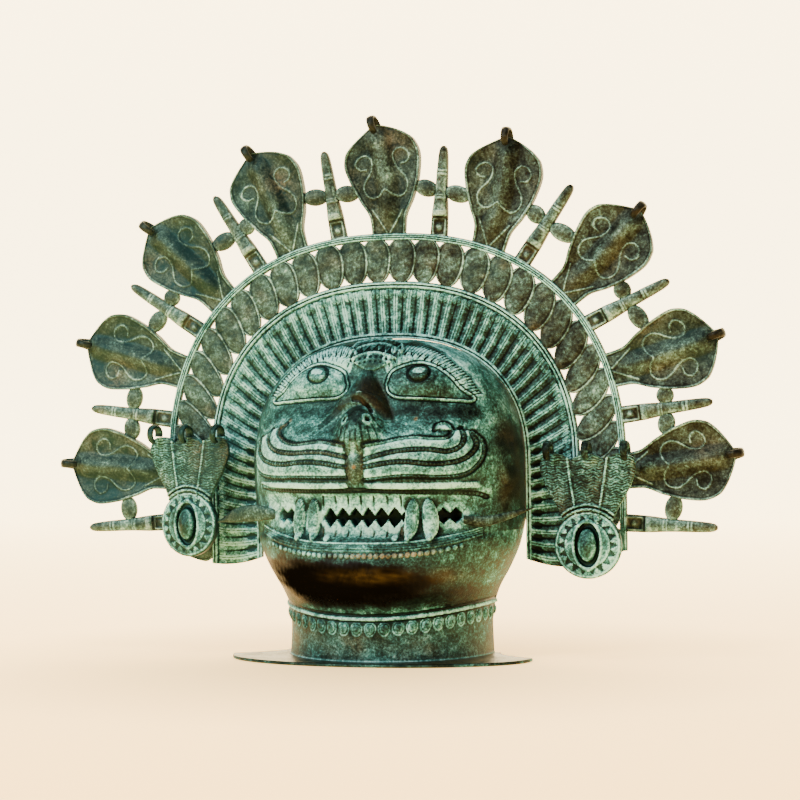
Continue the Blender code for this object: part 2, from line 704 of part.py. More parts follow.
def station(index):
    """Root point and direction of the hood or spike at a station of the outer ring.

    Even stations are hoods, odd ones spikes. Station 0 is the top hood, and negative ones are on the left.
    Each leans by its own turn, in degrees towards the right.
    """
    places, turns = (SPIKE_PLACES, SPIKE_TURNS) if index % 2 else (HOOD_PLACES, HOOD_TURNS)
    order = index // 2 + len(places) // 2
    share = places[order]
    before, after = crown_point(2, share - 0.004), crown_point(2, share + 0.004)
    angle = math.atan2(after[1] - before[1], after[0] - before[0]) + math.pi / 2 - math.radians(turns[order])
    x, z, _ = crown_point(2, share)
    return Vector((x, z)), Vector((math.cos(angle), math.sin(angle)))


def aside_of(direction):
    """A quarter turn to the right of a flat direction."""
    return Vector((direction.y, -direction.x))


def axis_point(index, along):
    """Point and direction on the axis of a hood or spike, at a distance out from the ring.

    The axes of the hoods bend to the left, most of all at the top of the crown.
    """
    root, direction = station(index)
    if index % 2:
        return root + direction * along, direction
    bend = HOOD_BEND * (1 - abs(index) / 10)
    reach = min(max(along, 0), HOOD_LENGTH) / HOOD_LENGTH
    left = -aside_of(direction)
    heading = (direction + left * 2 * bend * reach / HOOD_LENGTH).normalized()
    point = root + direction * min(along, HOOD_LENGTH) + left * bend * reach * reach
    return point + heading * max(along - HOOD_LENGTH, 0), heading


def hood_half(along):
    """Half-width of a cobra hood at a distance out from the ring."""
    if along > HOOD_LENGTH:
        return CURL_HALF_WIDTH * (1 - 0.35 * (along - HOOD_LENGTH) / (CURL_RADIUS * CURL_TURN))
    neck, widest = HOOD_NECK_HALF, HOOD_HALF_WIDTH
    swell = widest - neck
    return smooth_curve([(-0.05, neck), (0.16, neck + 0.07 * swell), (0.345, neck + 0.50 * swell),
                         (0.53, neck + 0.85 * swell), (0.69, widest), (0.80, 0.92 * widest),
                         (0.875, 0.72 * widest), (0.94, 0.44 * widest), (0.98, 0.22 * widest),
                         (1, CURL_HALF_WIDTH)], along / HOOD_LENGTH)


def spike_half(along):
    """Half-width of a spike at a distance out from the ring."""
    share = along / SPIKE_LENGTH
    return smooth_curve([(-0.05, SPIKE_ROOT_HALF), (0.25, 0.93 * SPIKE_ROOT_HALF),
                         (0.5, 0.4 * SPIKE_ROOT_HALF + 0.6 * SPIKE_TIP_HALF), (0.9, SPIKE_TIP_HALF),
                         (0.97, 0.75 * SPIKE_TIP_HALF), (1, 0.3 * SPIKE_TIP_HALF)], share)


def blade_loop(index, stops, half, inset, lift):
    """A closed outline around an axis: up one side and down the other."""
    right, left = [], []
    for along in stops:
        width = max(half(along) - inset, 0.0004)
        middle, heading = axis_point(index, along)
        aside = aside_of(heading)
        right.append((*(middle + aside * width), lift))
        left.append((*(middle - aside * width), lift))
    return right + left[::-1]


def crown_shapes():
    """Outlines, relief lines and knobs of all hoods and spikes."""
    loops, paths, knobs, tips = [], [], [], []
    last = len(SPIKE_PLACES) - 1
    hood_stops = [HOOD_LENGTH * s for s in (-0.04, 0.16, 0.30, 0.43, 0.57, 0.70, 0.79, 0.86, 0.92, 0.965, 1)]
    hood_stops += [HOOD_LENGTH + CURL_RADIUS * CURL_TURN * i / 7 for i in range(1, 8)]
    inner_stops = [HOOD_LENGTH * s for s in (0.1, 0.26, 0.4, 0.55, 0.68, 0.78, 0.85, 0.91)]
    spike_stops = [SPIKE_LENGTH * s for s in (-0.04, 0.25, 0.55, 0.9, 0.97, 1)]
    for index in range(-last, last + 1):
        if index % 2 == 0:
            loops.append(blade_loop(index, hood_stops, hood_half, 0, HOOD_EDGE_RISE))
            paths.append(blade_loop(index, inner_stops, hood_half, HOOD_EDGE, 0))
            keel = [axis_point(index, HOOD_LENGTH * s)[0] for s in (0.05, 0.3, 0.6, 0.9)]
            paths.append([(*p, HOOD_KEEL_RISE if 0 < i < 3 else 0) for i, p in enumerate(keel)])
            tips.append(axis_point(index, HOOD_LENGTH))
        else:
            loops.append(blade_loop(index, spike_stops, spike_half, 0, 0))
            places = [SPIKE_LENGTH * s for s in (0.02, 0.3, 0.6, 0.93)]
            paths.append([(*axis_point(index, along)[0], 0.9 * spike_half(along)) for along in places])
        if index < last:
            knobs.append(knob(index, index + 1))
    return loops, paths, knobs, tips


def knob(one, two):
    """Outline of the round knob that joins a hood's flank to the spike beside it, and its middle."""
    flanks = []
    for index, other in ((one, two), (two, one)):
        half = hood_half(KNOB_REACH) if index % 2 == 0 else spike_half(KNOB_REACH)
        point, heading = axis_point(index, KNOB_REACH)
        flanks.append(point + aside_of(heading) * half * (1 if other > index else -1))
    middle = (flanks[0] + flanks[1]) / 2
    across = (flanks[1] - flanks[0]).normalized()
    along = Vector((-across.y, across.x))
    half = max(0.5 * (flanks[1] - flanks[0]).length + KNOB_OVERLAP, KNOB_RADIUS)
    turns = [2 * math.pi * (i + 0.5) / 8 for i in range(8)]
    outline = [middle + across * half * math.cos(a) + along * KNOB_RADIUS * math.sin(a) for a in turns]
    return [(*p, 0) for p in outline], middle


def near_ear(x, z):
    """Whether a place of the crown is behind an ear ornament's stem."""
    height = EAR_LEFT_Z if x > 0 else EAR_RIGHT_Z
    return math.hypot(abs(x) - EAR_X, z - height) < 2.6 * EAR_STEM_RADIUS


def petal_row():
    """Openings between the petals, and the dots that dome each petal."""
    holes, dots = [], []
    half = PETAL_COUNT // 2
    pitch = 1 / half
    strip = (0.5 * RING_WIDTH + RING_MARGIN) / (RING2_HALF_WIDTH - RING1_HALF_WIDTH)
    low, high = 1 + strip, 2 - strip
    for i in range(-half + 1, half):
        share = i * pitch
        x, z, _ = crown_point(1.5, share)
        if near_ear(x, z):
            continue
        holes.append([crown_point(low, share - 0.21 * pitch), crown_point(low, share + 0.21 * pitch),
                      crown_point(low + 0.41 * (high - low), share)])
        holes.append([crown_point(high, share + 0.15 * pitch), crown_point(high, share - 0.15 * pitch),
                      crown_point(high - 0.23 * (high - low), share)])
    for i in range(-half, half):
        share = (i + 0.5) * pitch
        x, z, _ = crown_point(1.5, share)
        if near_ear(x, z):
            continue
        dots.append(crown_point(1.55, share, PETAL_RISE))
        for ring_place, turn in ((1.55, -0.27), (1.55, 0.27), (1.3, 0), (1.8, 0)):
            dots.append(crown_point(ring_place, share + turn * pitch, 0.8 * PETAL_RISE))
    return holes, dots


def build_crown(material):
    """The crown as one pierced plate with raised rings, ribs, petals, hoods and spikes."""
    inner_span = RING1_HALF_WIDTH - HEAD_HALF_WIDTH
    outer_span = RING2_HALF_WIDTH - RING1_HALF_WIDTH
    ring_inner = 1 - 0.5 * RING_WIDTH / inner_span
    ring_half = 0.5 * RING_WIDTH / outer_span
    rib_start = RIB_START / inner_span
    rib_end = ring_inner - RING_MARGIN / inner_span
    steps = 2 * RIB_COUNT
    shares = [-1 + 2 * i / steps for i in range(steps + 1)]
    outer = [crown_point(2 + ring_half, s) for s in shares[::2]]
    edge = [crown_point(0, s) for s in shares[::2]]
    end_places = (2, 2 - ring_half, 1.5, 1 + ring_half, 1, ring_inner, rib_end, 0.5, rib_start)
    right_end = [crown_point(place, 1) for place in end_places]
    left_end = [crown_point(place, -1) for place in reversed(end_places)]
    zone = outer + right_end + edge[::-1] + left_end
    loops, paths, knobs, tips = crown_shapes()
    blades = [[p[:2] for p in loop] for loop in loops]
    for outline, _ in knobs:
        loops.append(outline)
        blades.append([p[:2] for p in outline])
    holes, dots = petal_row()
    openings = [[p[:2] for p in hole] for hole in holes]
    dots += [(middle.x, middle.y, 0.5 * KNOB_RADIUS) for _, middle in knobs]
    for ring_place, lift in ((ring_inner, 0), (1, RING_RISE), (1 + ring_half, 0),
                             (2 - ring_half, 0), (2, RING_RISE)):
        paths.append([crown_point(ring_place, s, lift) for s in shares[::2]])
    for ring_place in (rib_start, rib_end):
        paths.append([crown_point(ring_place, s, RIB_RISE if i % 2 else 0) for i, s in enumerate(shares)])
    for i, share in enumerate(shares):
        lift = RIB_RISE if i % 2 else 0
        paths.append([crown_point(place, share, lift) for place in (rib_start, rib_end)])
    for x, z in ((EAR_X, EAR_LEFT_Z), (-EAR_X, EAR_RIGHT_Z)):
        paths.append(ring(x, z, 1.2 * EAR_STEM_RADIUS, 1.2 * EAR_STEM_RADIUS, 0, 10))
    zone_flat = [p[:2] for p in zone]

    def keep(x, z):
        solid = inside((x, z), zone_flat) or any(inside((x, z), blade) for blade in blades)
        return solid and not any(inside((x, z), opening) for opening in openings)

    def front(x, z, lift):
        return curled(x, -PLATE_FRONT - lift, z, tips)

    def back(x, z, lift):
        return curled(x, PLATE_BACK + lift, z, tips)

    corners, faces = flat_mesh([zone] + loops + holes, paths, dots, keep)
    return new_object("crown", thick_sheet(corners, faces, front, back, keep), material)


def curled(x, y, z, tips):
    """Bends the tongue beyond each hood's tip forward into a small loop."""
    for tip, direction in tips:
        offset = Vector((x, z)) - tip
        along = offset.dot(direction)
        across = offset.dot(aside_of(direction))
        if along > 0 and abs(across) < 2 * CURL_HALF_WIDTH:
            turn = along / CURL_RADIUS
            out = (CURL_RADIUS + y) * math.sin(turn)
            forward = CURL_RADIUS - (CURL_RADIUS + y) * math.cos(turn)
            flat = tip + direction * out + aside_of(direction) * across
            return Vector((flat.x, -forward, flat.y))
    return Vector((x, y, z))


def ear_fan():
    """Outline of the three-headed hood, with a tongue on each head, and the tongues' roots."""
    neck_z = 0.7 * EAR_DISC_RADIUS
    shoulder = EAR_HOOD_TOP - EAR_HEAD_RISE
    right = [(EAR_NECK_HALF, neck_z), (0.75 * EAR_HOOD_HALF, 0.6 * shoulder), (EAR_HOOD_HALF, shoulder)]
    top, tips = [], []
    for place in (0.80, 0, -0.80):
        middle = place * EAR_HOOD_HALF
        root_z = shoulder + EAR_HEAD_RISE
        half = 0.17 * EAR_HOOD_HALF
        reach = root_z + CURL_RADIUS * CURL_TURN
        steps = [root_z + (reach - root_z) * i / 6 for i in range(7)]
        up = [(middle + CURL_HALF_WIDTH * (1 - 0.04 * i), z) for i, z in enumerate(steps)]
        down = [(2 * middle - x, z) for x, z in reversed(up)]
        top += [(middle + half, shoulder + 0.3 * EAR_HEAD_RISE)] + up + down
        top += [(middle - half, shoulder + 0.3 * EAR_HEAD_RISE)]
        if place > -0.5:
            top.append((middle - 0.4 * EAR_HOOD_HALF, shoulder - 0.1 * EAR_HEAD_RISE))
        tips.append((Vector((middle, root_z)), Vector((0, 1))))
    left = [(-x, z) for x, z in reversed(right)]
    return [(x, z, 0) for x, z in right + top + left], tips


def build_ear(name, x, z, turn, material):
    """A three-headed hood over a domed ear disc, on a stem in front of the crown."""
    radius, half_width, half_height = EAR_DISC_RADIUS, EAR_BOSS_HALF_WIDTH, EAR_BOSS_HALF_HEIGHT
    disc = ring(0, 0, radius, radius, 0, 24)[:-1]
    fan, tips = ear_fan()
    disc_flat = [p[:2] for p in disc]
    fan_flat = [p[:2] for p in fan]
    paths = [ring(0, 0, 0.85 * radius, 0.85 * radius, 0.5 * EAR_DOME, 12)]
    for share, lift, sides in ((1.5, EAR_DOME, 12), (1.2, 0.5 * EAR_DOME, 10), (1, 0.6 * EAR_DOME, 10),
                               (0.6, EAR_DOME + EAR_BOSS_RISE, 6)):
        paths.append(ring(0, 0, share * half_width, half_height + (share - 1) * half_width, lift, sides))
    shoulder = EAR_HOOD_TOP - EAR_HEAD_RISE
    for side in (-1, 1):
        foot = (0.40 * EAR_NECK_HALF * side, radius + 0.002)
        head = (0.42 * EAR_HOOD_HALF * side, shoulder - 0.5 * EAR_HEAD_RISE)
        for aside, lift in ((-0.0025, 0), (0, EAR_RIDGE), (0.0025, 0)):
            paths.append([(foot[0] + aside, foot[1], lift), (head[0] + aside, head[1], lift)])
    dots = [(side * 0.62 * EAR_HOOD_HALF, 0.75 * shoulder, EAR_RIDGE) for side in (-1, 0, 1)]
    place = Matrix.Translation((x, EAR_Y, z)) @ Matrix.Rotation(turn, 4, "Z")

    def keep(a, b):
        return inside((a, b), disc_flat) or inside((a, b), fan_flat)

    def front(a, b, lift):
        return place @ curled(a, -0.5 * EAR_PLATE - lift, b, tips)

    def back(a, b, lift):
        return place @ curled(a, 0.5 * EAR_PLATE + lift, b, tips)

    corners, faces = flat_mesh([disc, fan], paths, dots, keep)
    ear = new_object(name, thick_sheet(corners, faces, front, back, keep), material)
    stem = [Vector((x, EAR_Y, z)), Vector((x, -PLATE_FRONT - CLEARANCE, z))]
    add_shape(ear, tube(stem, [EAR_STEM_RADIUS] * 2, 12))
    return ear


def centre_depth(items):
    """Moves everything in y so that the origin is under the middle of the whole object."""
    depths = [v.co.y for item in items for v in item.data.vertices]
    shift = -(min(depths) + max(depths)) / 2
    for item in items:
        item.location.y += shift


def main():
    clear_scene()
    face_bronze = bronze("verdigris_bronze", (0.20, 0.38, 0.34), 0.55)
    crown_bronze = bronze("brown_green_bronze", (0.22, 0.28, 0.22), 0.55)
    build_head(face_bronze)
    build_crown(crown_bronze)
    build_ear("ear_ornament_left", EAR_X, EAR_LEFT_Z, 0, face_bronze)
    build_ear("ear_ornament_right", -EAR_X, EAR_RIGHT_Z, -EAR_RIGHT_TURN, face_bronze)
    centre_depth(list(bpy.context.scene.objects))


main()
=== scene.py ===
"""Looks of the bronze tiger-spirit mask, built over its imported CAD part.

Sizes are in metres in the part's frame: x to the wearer's left, y to the back, z up from the underside.
"""
import math

import bpy
import numpy as np
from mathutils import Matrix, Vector

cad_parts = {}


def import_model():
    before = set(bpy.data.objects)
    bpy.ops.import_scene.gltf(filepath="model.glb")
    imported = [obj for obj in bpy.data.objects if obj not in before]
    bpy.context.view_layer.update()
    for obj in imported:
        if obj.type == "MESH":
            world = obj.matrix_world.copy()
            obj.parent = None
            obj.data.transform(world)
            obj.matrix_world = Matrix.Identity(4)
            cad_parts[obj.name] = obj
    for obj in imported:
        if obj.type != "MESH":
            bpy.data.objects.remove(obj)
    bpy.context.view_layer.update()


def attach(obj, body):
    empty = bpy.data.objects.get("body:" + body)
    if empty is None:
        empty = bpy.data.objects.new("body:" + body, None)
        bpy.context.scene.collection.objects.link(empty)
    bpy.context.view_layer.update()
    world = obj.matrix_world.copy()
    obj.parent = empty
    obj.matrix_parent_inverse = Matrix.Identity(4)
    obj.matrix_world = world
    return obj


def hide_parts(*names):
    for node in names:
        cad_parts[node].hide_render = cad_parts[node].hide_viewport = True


# Camera
CAMERA_PLACE = (0.5789, -1.961, 0.221)
CAMERA_AZIMUTH = 16.0
CAMERA_LENS = 108.6
CAMERA_ROLL = 0.67
SHIFT_X = 0.011

# Head, as in the part
WALL = 0.003
PLATE_FRONT = 0.0015
PLATE_BACK = 0.0020
CLEARANCE = 0.0003
HEAD_HALF_WIDTH = 0.119
HEAD_SPRING_Z = 0.163
HEAD_TOP_Z = 0.274
HEAD_ARCH_POWER = 2.4
COLLAR_HALF_WIDTH = 0.0895
COLLAR_DEPTH = 0.096
COLLAR_TOP_Z = 0.042
CHIN_DEPTH = 0.117
CHIN_Z = 0.070
LIP_DEPTH = 0.106
LOWER_LIP_Z = 0.104
TEETH_DEPTH = 0.100
MUZZLE_DEPTH = 0.114
MUZZLE_Z = 0.165
EYE_DEPTH = 0.074
BROW_Z = 0.248
BROW_DEPTH = 0.071
FLANGE_WIDTH = 0.0428
FLANGE_FRONT = 0.014
FLANGE_TIP_Y = -0.039
FLANGE_BACK = 0.006
FLANGE_TIP_SHARE = 0.70
LIP_LINE_Z = 0.145
MOUTH_Z = 0.1235
MOUTH_POCKET = 0.014
EYE_X = 0.045
EYE_Z = 0.236
NOSE_TIP_Z = 0.216
NOSE_TOP_Z = 0.248
NOSE_RISE = 0.0215
NOSE_HALF = 0.0240
NOSE_WING = 0.0120
PAD_Z = 0.197
PAD_HALF = 0.022
PAD_RISE = 0.0185

# Crown, as in the part
RING1_HALF_WIDTH = 0.1635
RING1_TOP_Z = 0.321
RING2_HALF_WIDTH = 0.2035
RING2_TOP_Z = 0.363
RING_POWER = 2.3
CROWN_END_Z = 0.084
CROWN_END_RISE = 0.007
CROWN_END_SAG = 0.010
RING_WIDTH = 0.0050
RIB_COUNT = 54
PETAL_COUNT = 34
HOOD_PLACES = (-0.831, -0.603, -0.418, -0.225, 0, 0.225, 0.418, 0.613, 0.831)
HOOD_TURNS = (7, 0, 4.5, 3.5, 2, -1.5, 4.5, 5, -7)
SPIKE_PLACES = (-0.940, -0.711, -0.503, -0.306, -0.113, 0.113, 0.306, 0.503, 0.711, 0.940)
SPIKE_TURNS = (-4, 0, 0, -3, -2, -4, 4.5, 6, 0, 3)
HOOD_LENGTH = 0.0965
HOOD_BEND = 0.015
HOOD_HALF_WIDTH = 0.0342
HOOD_NECK_HALF = 0.0146
SPIKE_LENGTH = 0.080
SPIKE_ROOT_HALF = 0.0076
SPIKE_TIP_HALF = 0.0041
KNOB_RADIUS = 0.0074
KNOB_REACH = 0.041
CURL_RADIUS = 0.0070
CURL_HALF_WIDTH = 0.0030
CURL_TURN = math.radians(250)

# Ear ornaments, as in the part
EAR_X = 0.178
EAR_Y = -0.024
EAR_LEFT_Z = 0.0975
EAR_RIGHT_Z = 0.114
EAR_RIGHT_TURN = math.radians(13)
EAR_DISC_RADIUS = 0.0285
EAR_HOOD_TOP = 0.080
EAR_HOOD_HALF = 0.041
EAR_NECK_HALF = 0.020
EAR_STEM_RADIUS = 0.008

# Only for the looks: where nets end and meet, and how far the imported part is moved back
FRONT_REACH = 0.1175
SKIN_TOP_Z = HEAD_TOP_Z - 0.0006
CHIN_SEAM_Z = 0.0975
BROW_SEAM_Z = 0.2015
RING_EDGE = 0.62
PETAL_WIDEST = 1.57
EAR_HALF_WALL = 0.0015
BACK_SHIFT = 0.0577925
RAISED_STEP = 0.0007
PAINTS = ("raised", "dark", "warm", "polish")


# Curves and small helpers

def smooth_curve(points, at):
    """A smooth, never overshooting curve through a few (place, value) points."""
    xs, ys = np.array(points, float).T
    steps = np.diff(xs)
    slopes = np.diff(ys) / steps
    tangents = np.zeros(len(xs))
    tangents[0], tangents[-1] = slopes[0], slopes[-1]
    for i in range(1, len(xs) - 1):
        if slopes[i - 1] * slopes[i] > 0:
            before = 2 * steps[i] + steps[i - 1]
            after = steps[i] + 2 * steps[i - 1]
            tangents[i] = (before + after) / (before / slopes[i - 1] + after / slopes[i])
    at = np.clip(at, xs[0], xs[-1])
    i = np.clip(np.searchsorted(xs, at) - 1, 0, len(steps) - 1)
    u = (at - xs[i]) / steps[i]
    start = (1 + 2 * u) * (1 - u) ** 2 * ys[i] + u * (1 - u) ** 2 * steps[i] * tangents[i]
    end = u * u * (3 - 2 * u) * ys[i + 1] + u * u * (u - 1) * steps[i] * tangents[i + 1]
    return start + end


def bump(distance, reach):
    """1 at distance 0, falling smoothly to 0 at the reach."""
    share = np.minimum(np.abs(distance) / reach, 1)
    return (1 - share * share) ** 2


def rise(value, low, high):
    """0 below low, 1 above high and smooth between."""
    share = np.clip((value - low) / (high - low), 0, 1)
    return share * share * (3 - 2 * share)


def band(value, low, high, soft):
    """1 between low and high, 0 outside, with soft sides."""
    return rise(value, low - soft, low + soft) * (1 - rise(value, high - soft, high + soft))


def spline(points, steps=8):
    """A rounded line through points."""
    points = np.array(points, float)
    padded = np.vstack([2 * points[0] - points[1], points, 2 * points[-1] - points[-2]])
    shares = np.linspace(0, 1, steps, endpoint=False)[:, None]
    line = []
    for p0, p1, p2, p3 in zip(padded, padded[1:], padded[2:], padded[3:]):
        line.append(0.5 * (2 * p1 + (p2 - p0) * shares + (2 * p0 - 5 * p1 + 4 * p2 - p3) * shares ** 2
                           + (3 * p1 - p0 - 3 * p2 + p3) * shares ** 3))
    return np.vstack(line + [points[-1:]])


def traced(points, steps=8):
    """A rounded line through points given in millimetres."""
    return spline(points, steps) / 1000


def near(a, b, line, reach):
    """Distance from flat places to a line, and the run along the line to its nearest point."""
    distance = np.full(a.shape, float(reach))
    run = np.zeros(a.shape)
    low, high = line.min(0) - reach, line.max(0) + reach
    close = (a > low[0]) & (a < high[0]) & (b > low[1]) & (b < high[1])
    pa, pb = a[close], b[close]
    best, at = np.full(pa.shape, float(reach)), np.zeros(pa.shape)
    passed = 0
    for (ax, ay), (bx, by) in zip(line, line[1:]):
        dx, dy = bx - ax, by - ay
        length = math.hypot(dx, dy)
        share = np.clip(((pa - ax) * dx + (pb - ay) * dy) / length ** 2, 0, 1)
        away = np.hypot(pa - ax - share * dx, pb - ay - share * dy)
        closer = away < best
        best[closer] = away[closer]
        at[closer] = passed + share[closer] * length
        passed += length
    distance[close] = best
    run[close] = at
    return distance, run


def within(a, b, loop):
    """Which flat places lie inside a closed loop."""
    found = np.zeros(a.shape, bool)
    for (x1, y1), (x2, y2) in zip(loop, np.roll(loop, -1, 0)):
        if y1 != y2:
            crosses = ((y1 > b) != (y2 > b)) & (a < x1 + (b - y1) * (x2 - x1) / (y2 - y1))
            found ^= crosses
    return found


def wobble(a, b, size, seed):
    """A smooth, hand-made unevenness between -1 and 1."""
    total = 0
    for i in range(4):
        turn = 1.7 * seed + 2.4 * i
        scale = 2 * math.pi / size * (0.6 + 0.35 * i)
        total = total + np.sin(scale * (a * math.cos(turn) + b * math.sin(turn)) + 3.1 * seed + 1.3 * i)
    return total / 4


def blurred(field, reach):
    """A field averaged over a few cells each way."""
    for axis in (0, 1):
        for _ in range(2):
            size = field.shape[axis]
            pad = [(0, 0), (0, 0)]
            pad[axis] = (reach + 1, reach)
            sums = np.cumsum(np.pad(field, pad, mode="edge"), axis)
            high = np.take(sums, range(2 * reach + 1, 2 * reach + 1 + size), axis)
            low = np.take(sums, range(size), axis)
            field = (high - low) / (2 * reach + 1)
    return field


class Relief:
    """Height and paint of a net of places, filled feature by feature."""

    def __init__(self, shape):
        self.lift = np.zeros(shape)
        self.dark = np.zeros(shape)
        self.warm = np.zeros(shape)
        self.polish = np.zeros(shape)
        self.pale = np.zeros(shape)

    def ridge(self, distance, half, lift, pale=0.0, dark=0.0):
        """A round ridge, or with a negative lift a groove, along a line."""
        shape = np.clip(1 - (distance / half) ** 2, 0, 1)
        self.lift += lift * np.sqrt(shape) * np.minimum(3 * shape, 1)
        self.pale = np.maximum(self.pale, pale * shape)
        self.dark = np.maximum(self.dark, dark * shape)

    def tint(self, **paints):
        """Add paint only where it is stronger than what is there."""
        for name, value in paints.items():
            setattr(self, name, np.maximum(getattr(self, name), value))

    def put(self, area, **values):
        """Replace what is there inside an area."""
        for name, value in values.items():
            setattr(self, name, np.where(area, value, getattr(self, name)))

    def paint(self, reach):
        """The paint values, with what stands proud of its surroundings marked as raised."""
        proud = (self.lift - blurred(self.lift, reach)) / RAISED_STEP
        raised = np.clip(0.5 + 0.5 * proud + 0.5 * self.pale, 0, 1)
        return {"raised": raised, "dark": self.dark, "warm": self.warm, "polish": self.polish}


# Mesh making

def net(points, paint=None, closed=False, flip=False):
    """Corners, quads and paint of a net of points: rows by columns."""
    rows, columns = points.shape[:2]
    index = np.arange(rows * columns).reshape(rows, columns)
    if closed:
        index = np.column_stack([index, index[:, :1]])
    quads = np.stack([index[:-1, :-1], index[:-1, 1:], index[1:, 1:], index[1:, :-1]], -1).reshape(-1, 4)
    if flip:
        quads = quads[:, ::-1]
    paint = paint or {}
    values = [np.broadcast_to(paint.get(name, 0.5 if name == "raised" else 0), (rows, columns)).ravel()
              for name in PAINTS]
    return points.reshape(-1, 3), quads, np.stack(values, 1)


def make_piece(name, parts, material, node):
    """One object from several nets, riding on the part and standing for a CAD node."""
    corners, quads, paint, count = [], [], [], 0
    for part_corners, part_quads, part_paint in parts:
        corners.append(part_corners)
        quads.append(part_quads + count)
        paint.append(part_paint)
        count += len(part_corners)
    corners = np.vstack(corners) + (0, BACK_SHIFT, 0)
    mesh = bpy.data.meshes.new(name)
    mesh.from_pydata(corners.tolist(), [], np.vstack(quads).tolist())
    colours = mesh.color_attributes.new("paint", "FLOAT_COLOR", "POINT")
    colours.data.foreach_set("color", np.vstack(paint).astype(np.float32).ravel())
    mesh.materials.append(material)
    mesh.shade_smooth()
    piece = bpy.data.objects.new(name, mesh)
    bpy.context.scene.collection.objects.link(piece)
    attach(piece, "root")
    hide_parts(node)
    return piece


def tube_net(path, halves, thicks, across, sides=10, paint=None):
    """A round-edged rod along a path, wide along the given sideways directions."""
    path = np.array(path, float)
    across = np.broadcast_to(np.array(across, float), path.shape)
    along = np.gradient(path, axis=0)
    along /= np.linalg.norm(along, axis=1, keepdims=True)
    normal = np.cross(along, across)
    turns = np.linspace(0, 2 * math.pi, sides, endpoint=False)
    halves = np.broadcast_to(halves, len(path))[:, None, None]
    thicks = np.broadcast_to(thicks, len(path))[:, None, None]
    points = (path[:, None] + across[:, None] * halves * np.cos(turns)[None, :, None]
              + normal[:, None] * thicks * np.sin(turns)[None, :, None])
    return net(points, paint, closed=True)


# Head: bare form as in the part

def arch(half_width, top_z, power, z):
    """Half-width of an arch with straight legs at a height."""
    share = np.clip((z - HEAD_SPRING_Z) / (top_z - HEAD_SPRING_Z), 0, 1)
    return half_width * (1 - share ** power) ** (1 / power)


def head_width(z):
    """Half-width of the head at its open back."""
    if z > CHIN_Z + 0.05:
        return float(arch(HEAD_HALF_WIDTH, HEAD_TOP_Z, HEAD_ARCH_POWER, z))
    jaw = HEAD_HALF_WIDTH - COLLAR_HALF_WIDTH
    shape = [(0, COLLAR_HALF_WIDTH), (COLLAR_TOP_Z - 0.012, COLLAR_HALF_WIDTH - 0.001),
             (COLLAR_TOP_Z + 0.004, COLLAR_HALF_WIDTH + 0.001),
             (CHIN_Z - 0.012, COLLAR_HALF_WIDTH + 0.16 * jaw), (CHIN_Z + 0.008, HEAD_HALF_WIDTH - 0.47 * jaw),
             (CHIN_Z + 0.030, HEAD_HALF_WIDTH - 0.16 * jaw), (CHIN_Z + 0.050, HEAD_HALF_WIDTH)]
    return float(smooth_curve(shape, z))


def head_depth(z):
    """How far the middle of the front stands before the open back."""
    if z > BROW_Z:
        share = min((z - BROW_Z) / (HEAD_TOP_Z - BROW_Z), 1)
        return BROW_DEPTH * max(1 - share ** 2.4, 0) ** (1 / 2.4)
    profile = [(0, COLLAR_DEPTH), (COLLAR_TOP_Z - 0.010, COLLAR_DEPTH - 0.001),
               (COLLAR_TOP_Z, COLLAR_DEPTH), (COLLAR_TOP_Z + 0.008, COLLAR_DEPTH + 0.006),
               (CHIN_Z - 0.008, CHIN_DEPTH - 0.004), (CHIN_Z + 0.008, CHIN_DEPTH),
               (CHIN_Z + 0.022, CHIN_DEPTH - 0.002), (LOWER_LIP_Z, LIP_DEPTH + 0.004),
               (LOWER_LIP_Z + 0.006, LIP_DEPTH - 0.003), (MOUTH_Z, TEETH_DEPTH),
               (LIP_LINE_Z - 0.006, TEETH_DEPTH + 0.002), (LIP_LINE_Z + 0.002, MUZZLE_DEPTH - 0.005),
               (MUZZLE_Z, MUZZLE_DEPTH), (MUZZLE_Z + 0.020, MUZZLE_DEPTH - 0.005),
               (PAD_Z + 0.001, MUZZLE_DEPTH - 0.017), (NOSE_TIP_Z - 0.006, EYE_DEPTH + 0.010),
               (EYE_Z - 0.014, EYE_DEPTH + 0.002), (EYE_Z - 0.004, EYE_DEPTH), (BROW_Z, BROW_DEPTH)]
    return float(smooth_curve(profile, z))


def head_power(z):
    """Squareness of the horizontal section: 2 is an ellipse."""
    return float(smooth_curve([(0, 2.0), (CHIN_Z - 0.008, 2.0), (LOWER_LIP_Z + 0.01, 2.2),
                               (MUZZLE_Z + 0.02, 2.2), (EYE_Z - 0.006, 2.9), (HEAD_TOP_Z, 2.6)], z))


def head_row(z, shares, inset=0.0):
    """One horizontal row of the bare head at shares of its half-run left and right of the middle."""
    width, depth, lean = head_width(z) - inset, head_depth(z) - inset, 2 / head_power(z)
    turns = np.linspace(0, math.pi / 2, 181)
    xs, ys = width * np.sin(turns) ** lean, PLATE_BACK - depth * np.cos(turns) ** lean
    run = np.concatenate([[0], np.cumsum(np.hypot(np.diff(xs), np.diff(ys)))])
    at = np.abs(shares) * run[-1]
    return np.stack([np.copysign(np.interp(at, run, xs), shares), np.interp(at, run, ys),
                     np.full(len(shares), z)], 1)


def head_base(heights, columns, inset=0.0):
    """Points of the bare head and its outward directions."""
    shares = np.linspace(-1, 1, columns)
    points = np.array([head_row(z, shares, inset) for z in heights])
    across, up = np.gradient(points, axis=1), np.gradient(points, axis=0)
    outward = np.cross(across, up)
    length = np.linalg.norm(outward, axis=2, keepdims=True)
    return points, outward / np.maximum(length, 1e-12)


# Head: carving, drawn in x and z as seen from the front, with its lines in millimetres

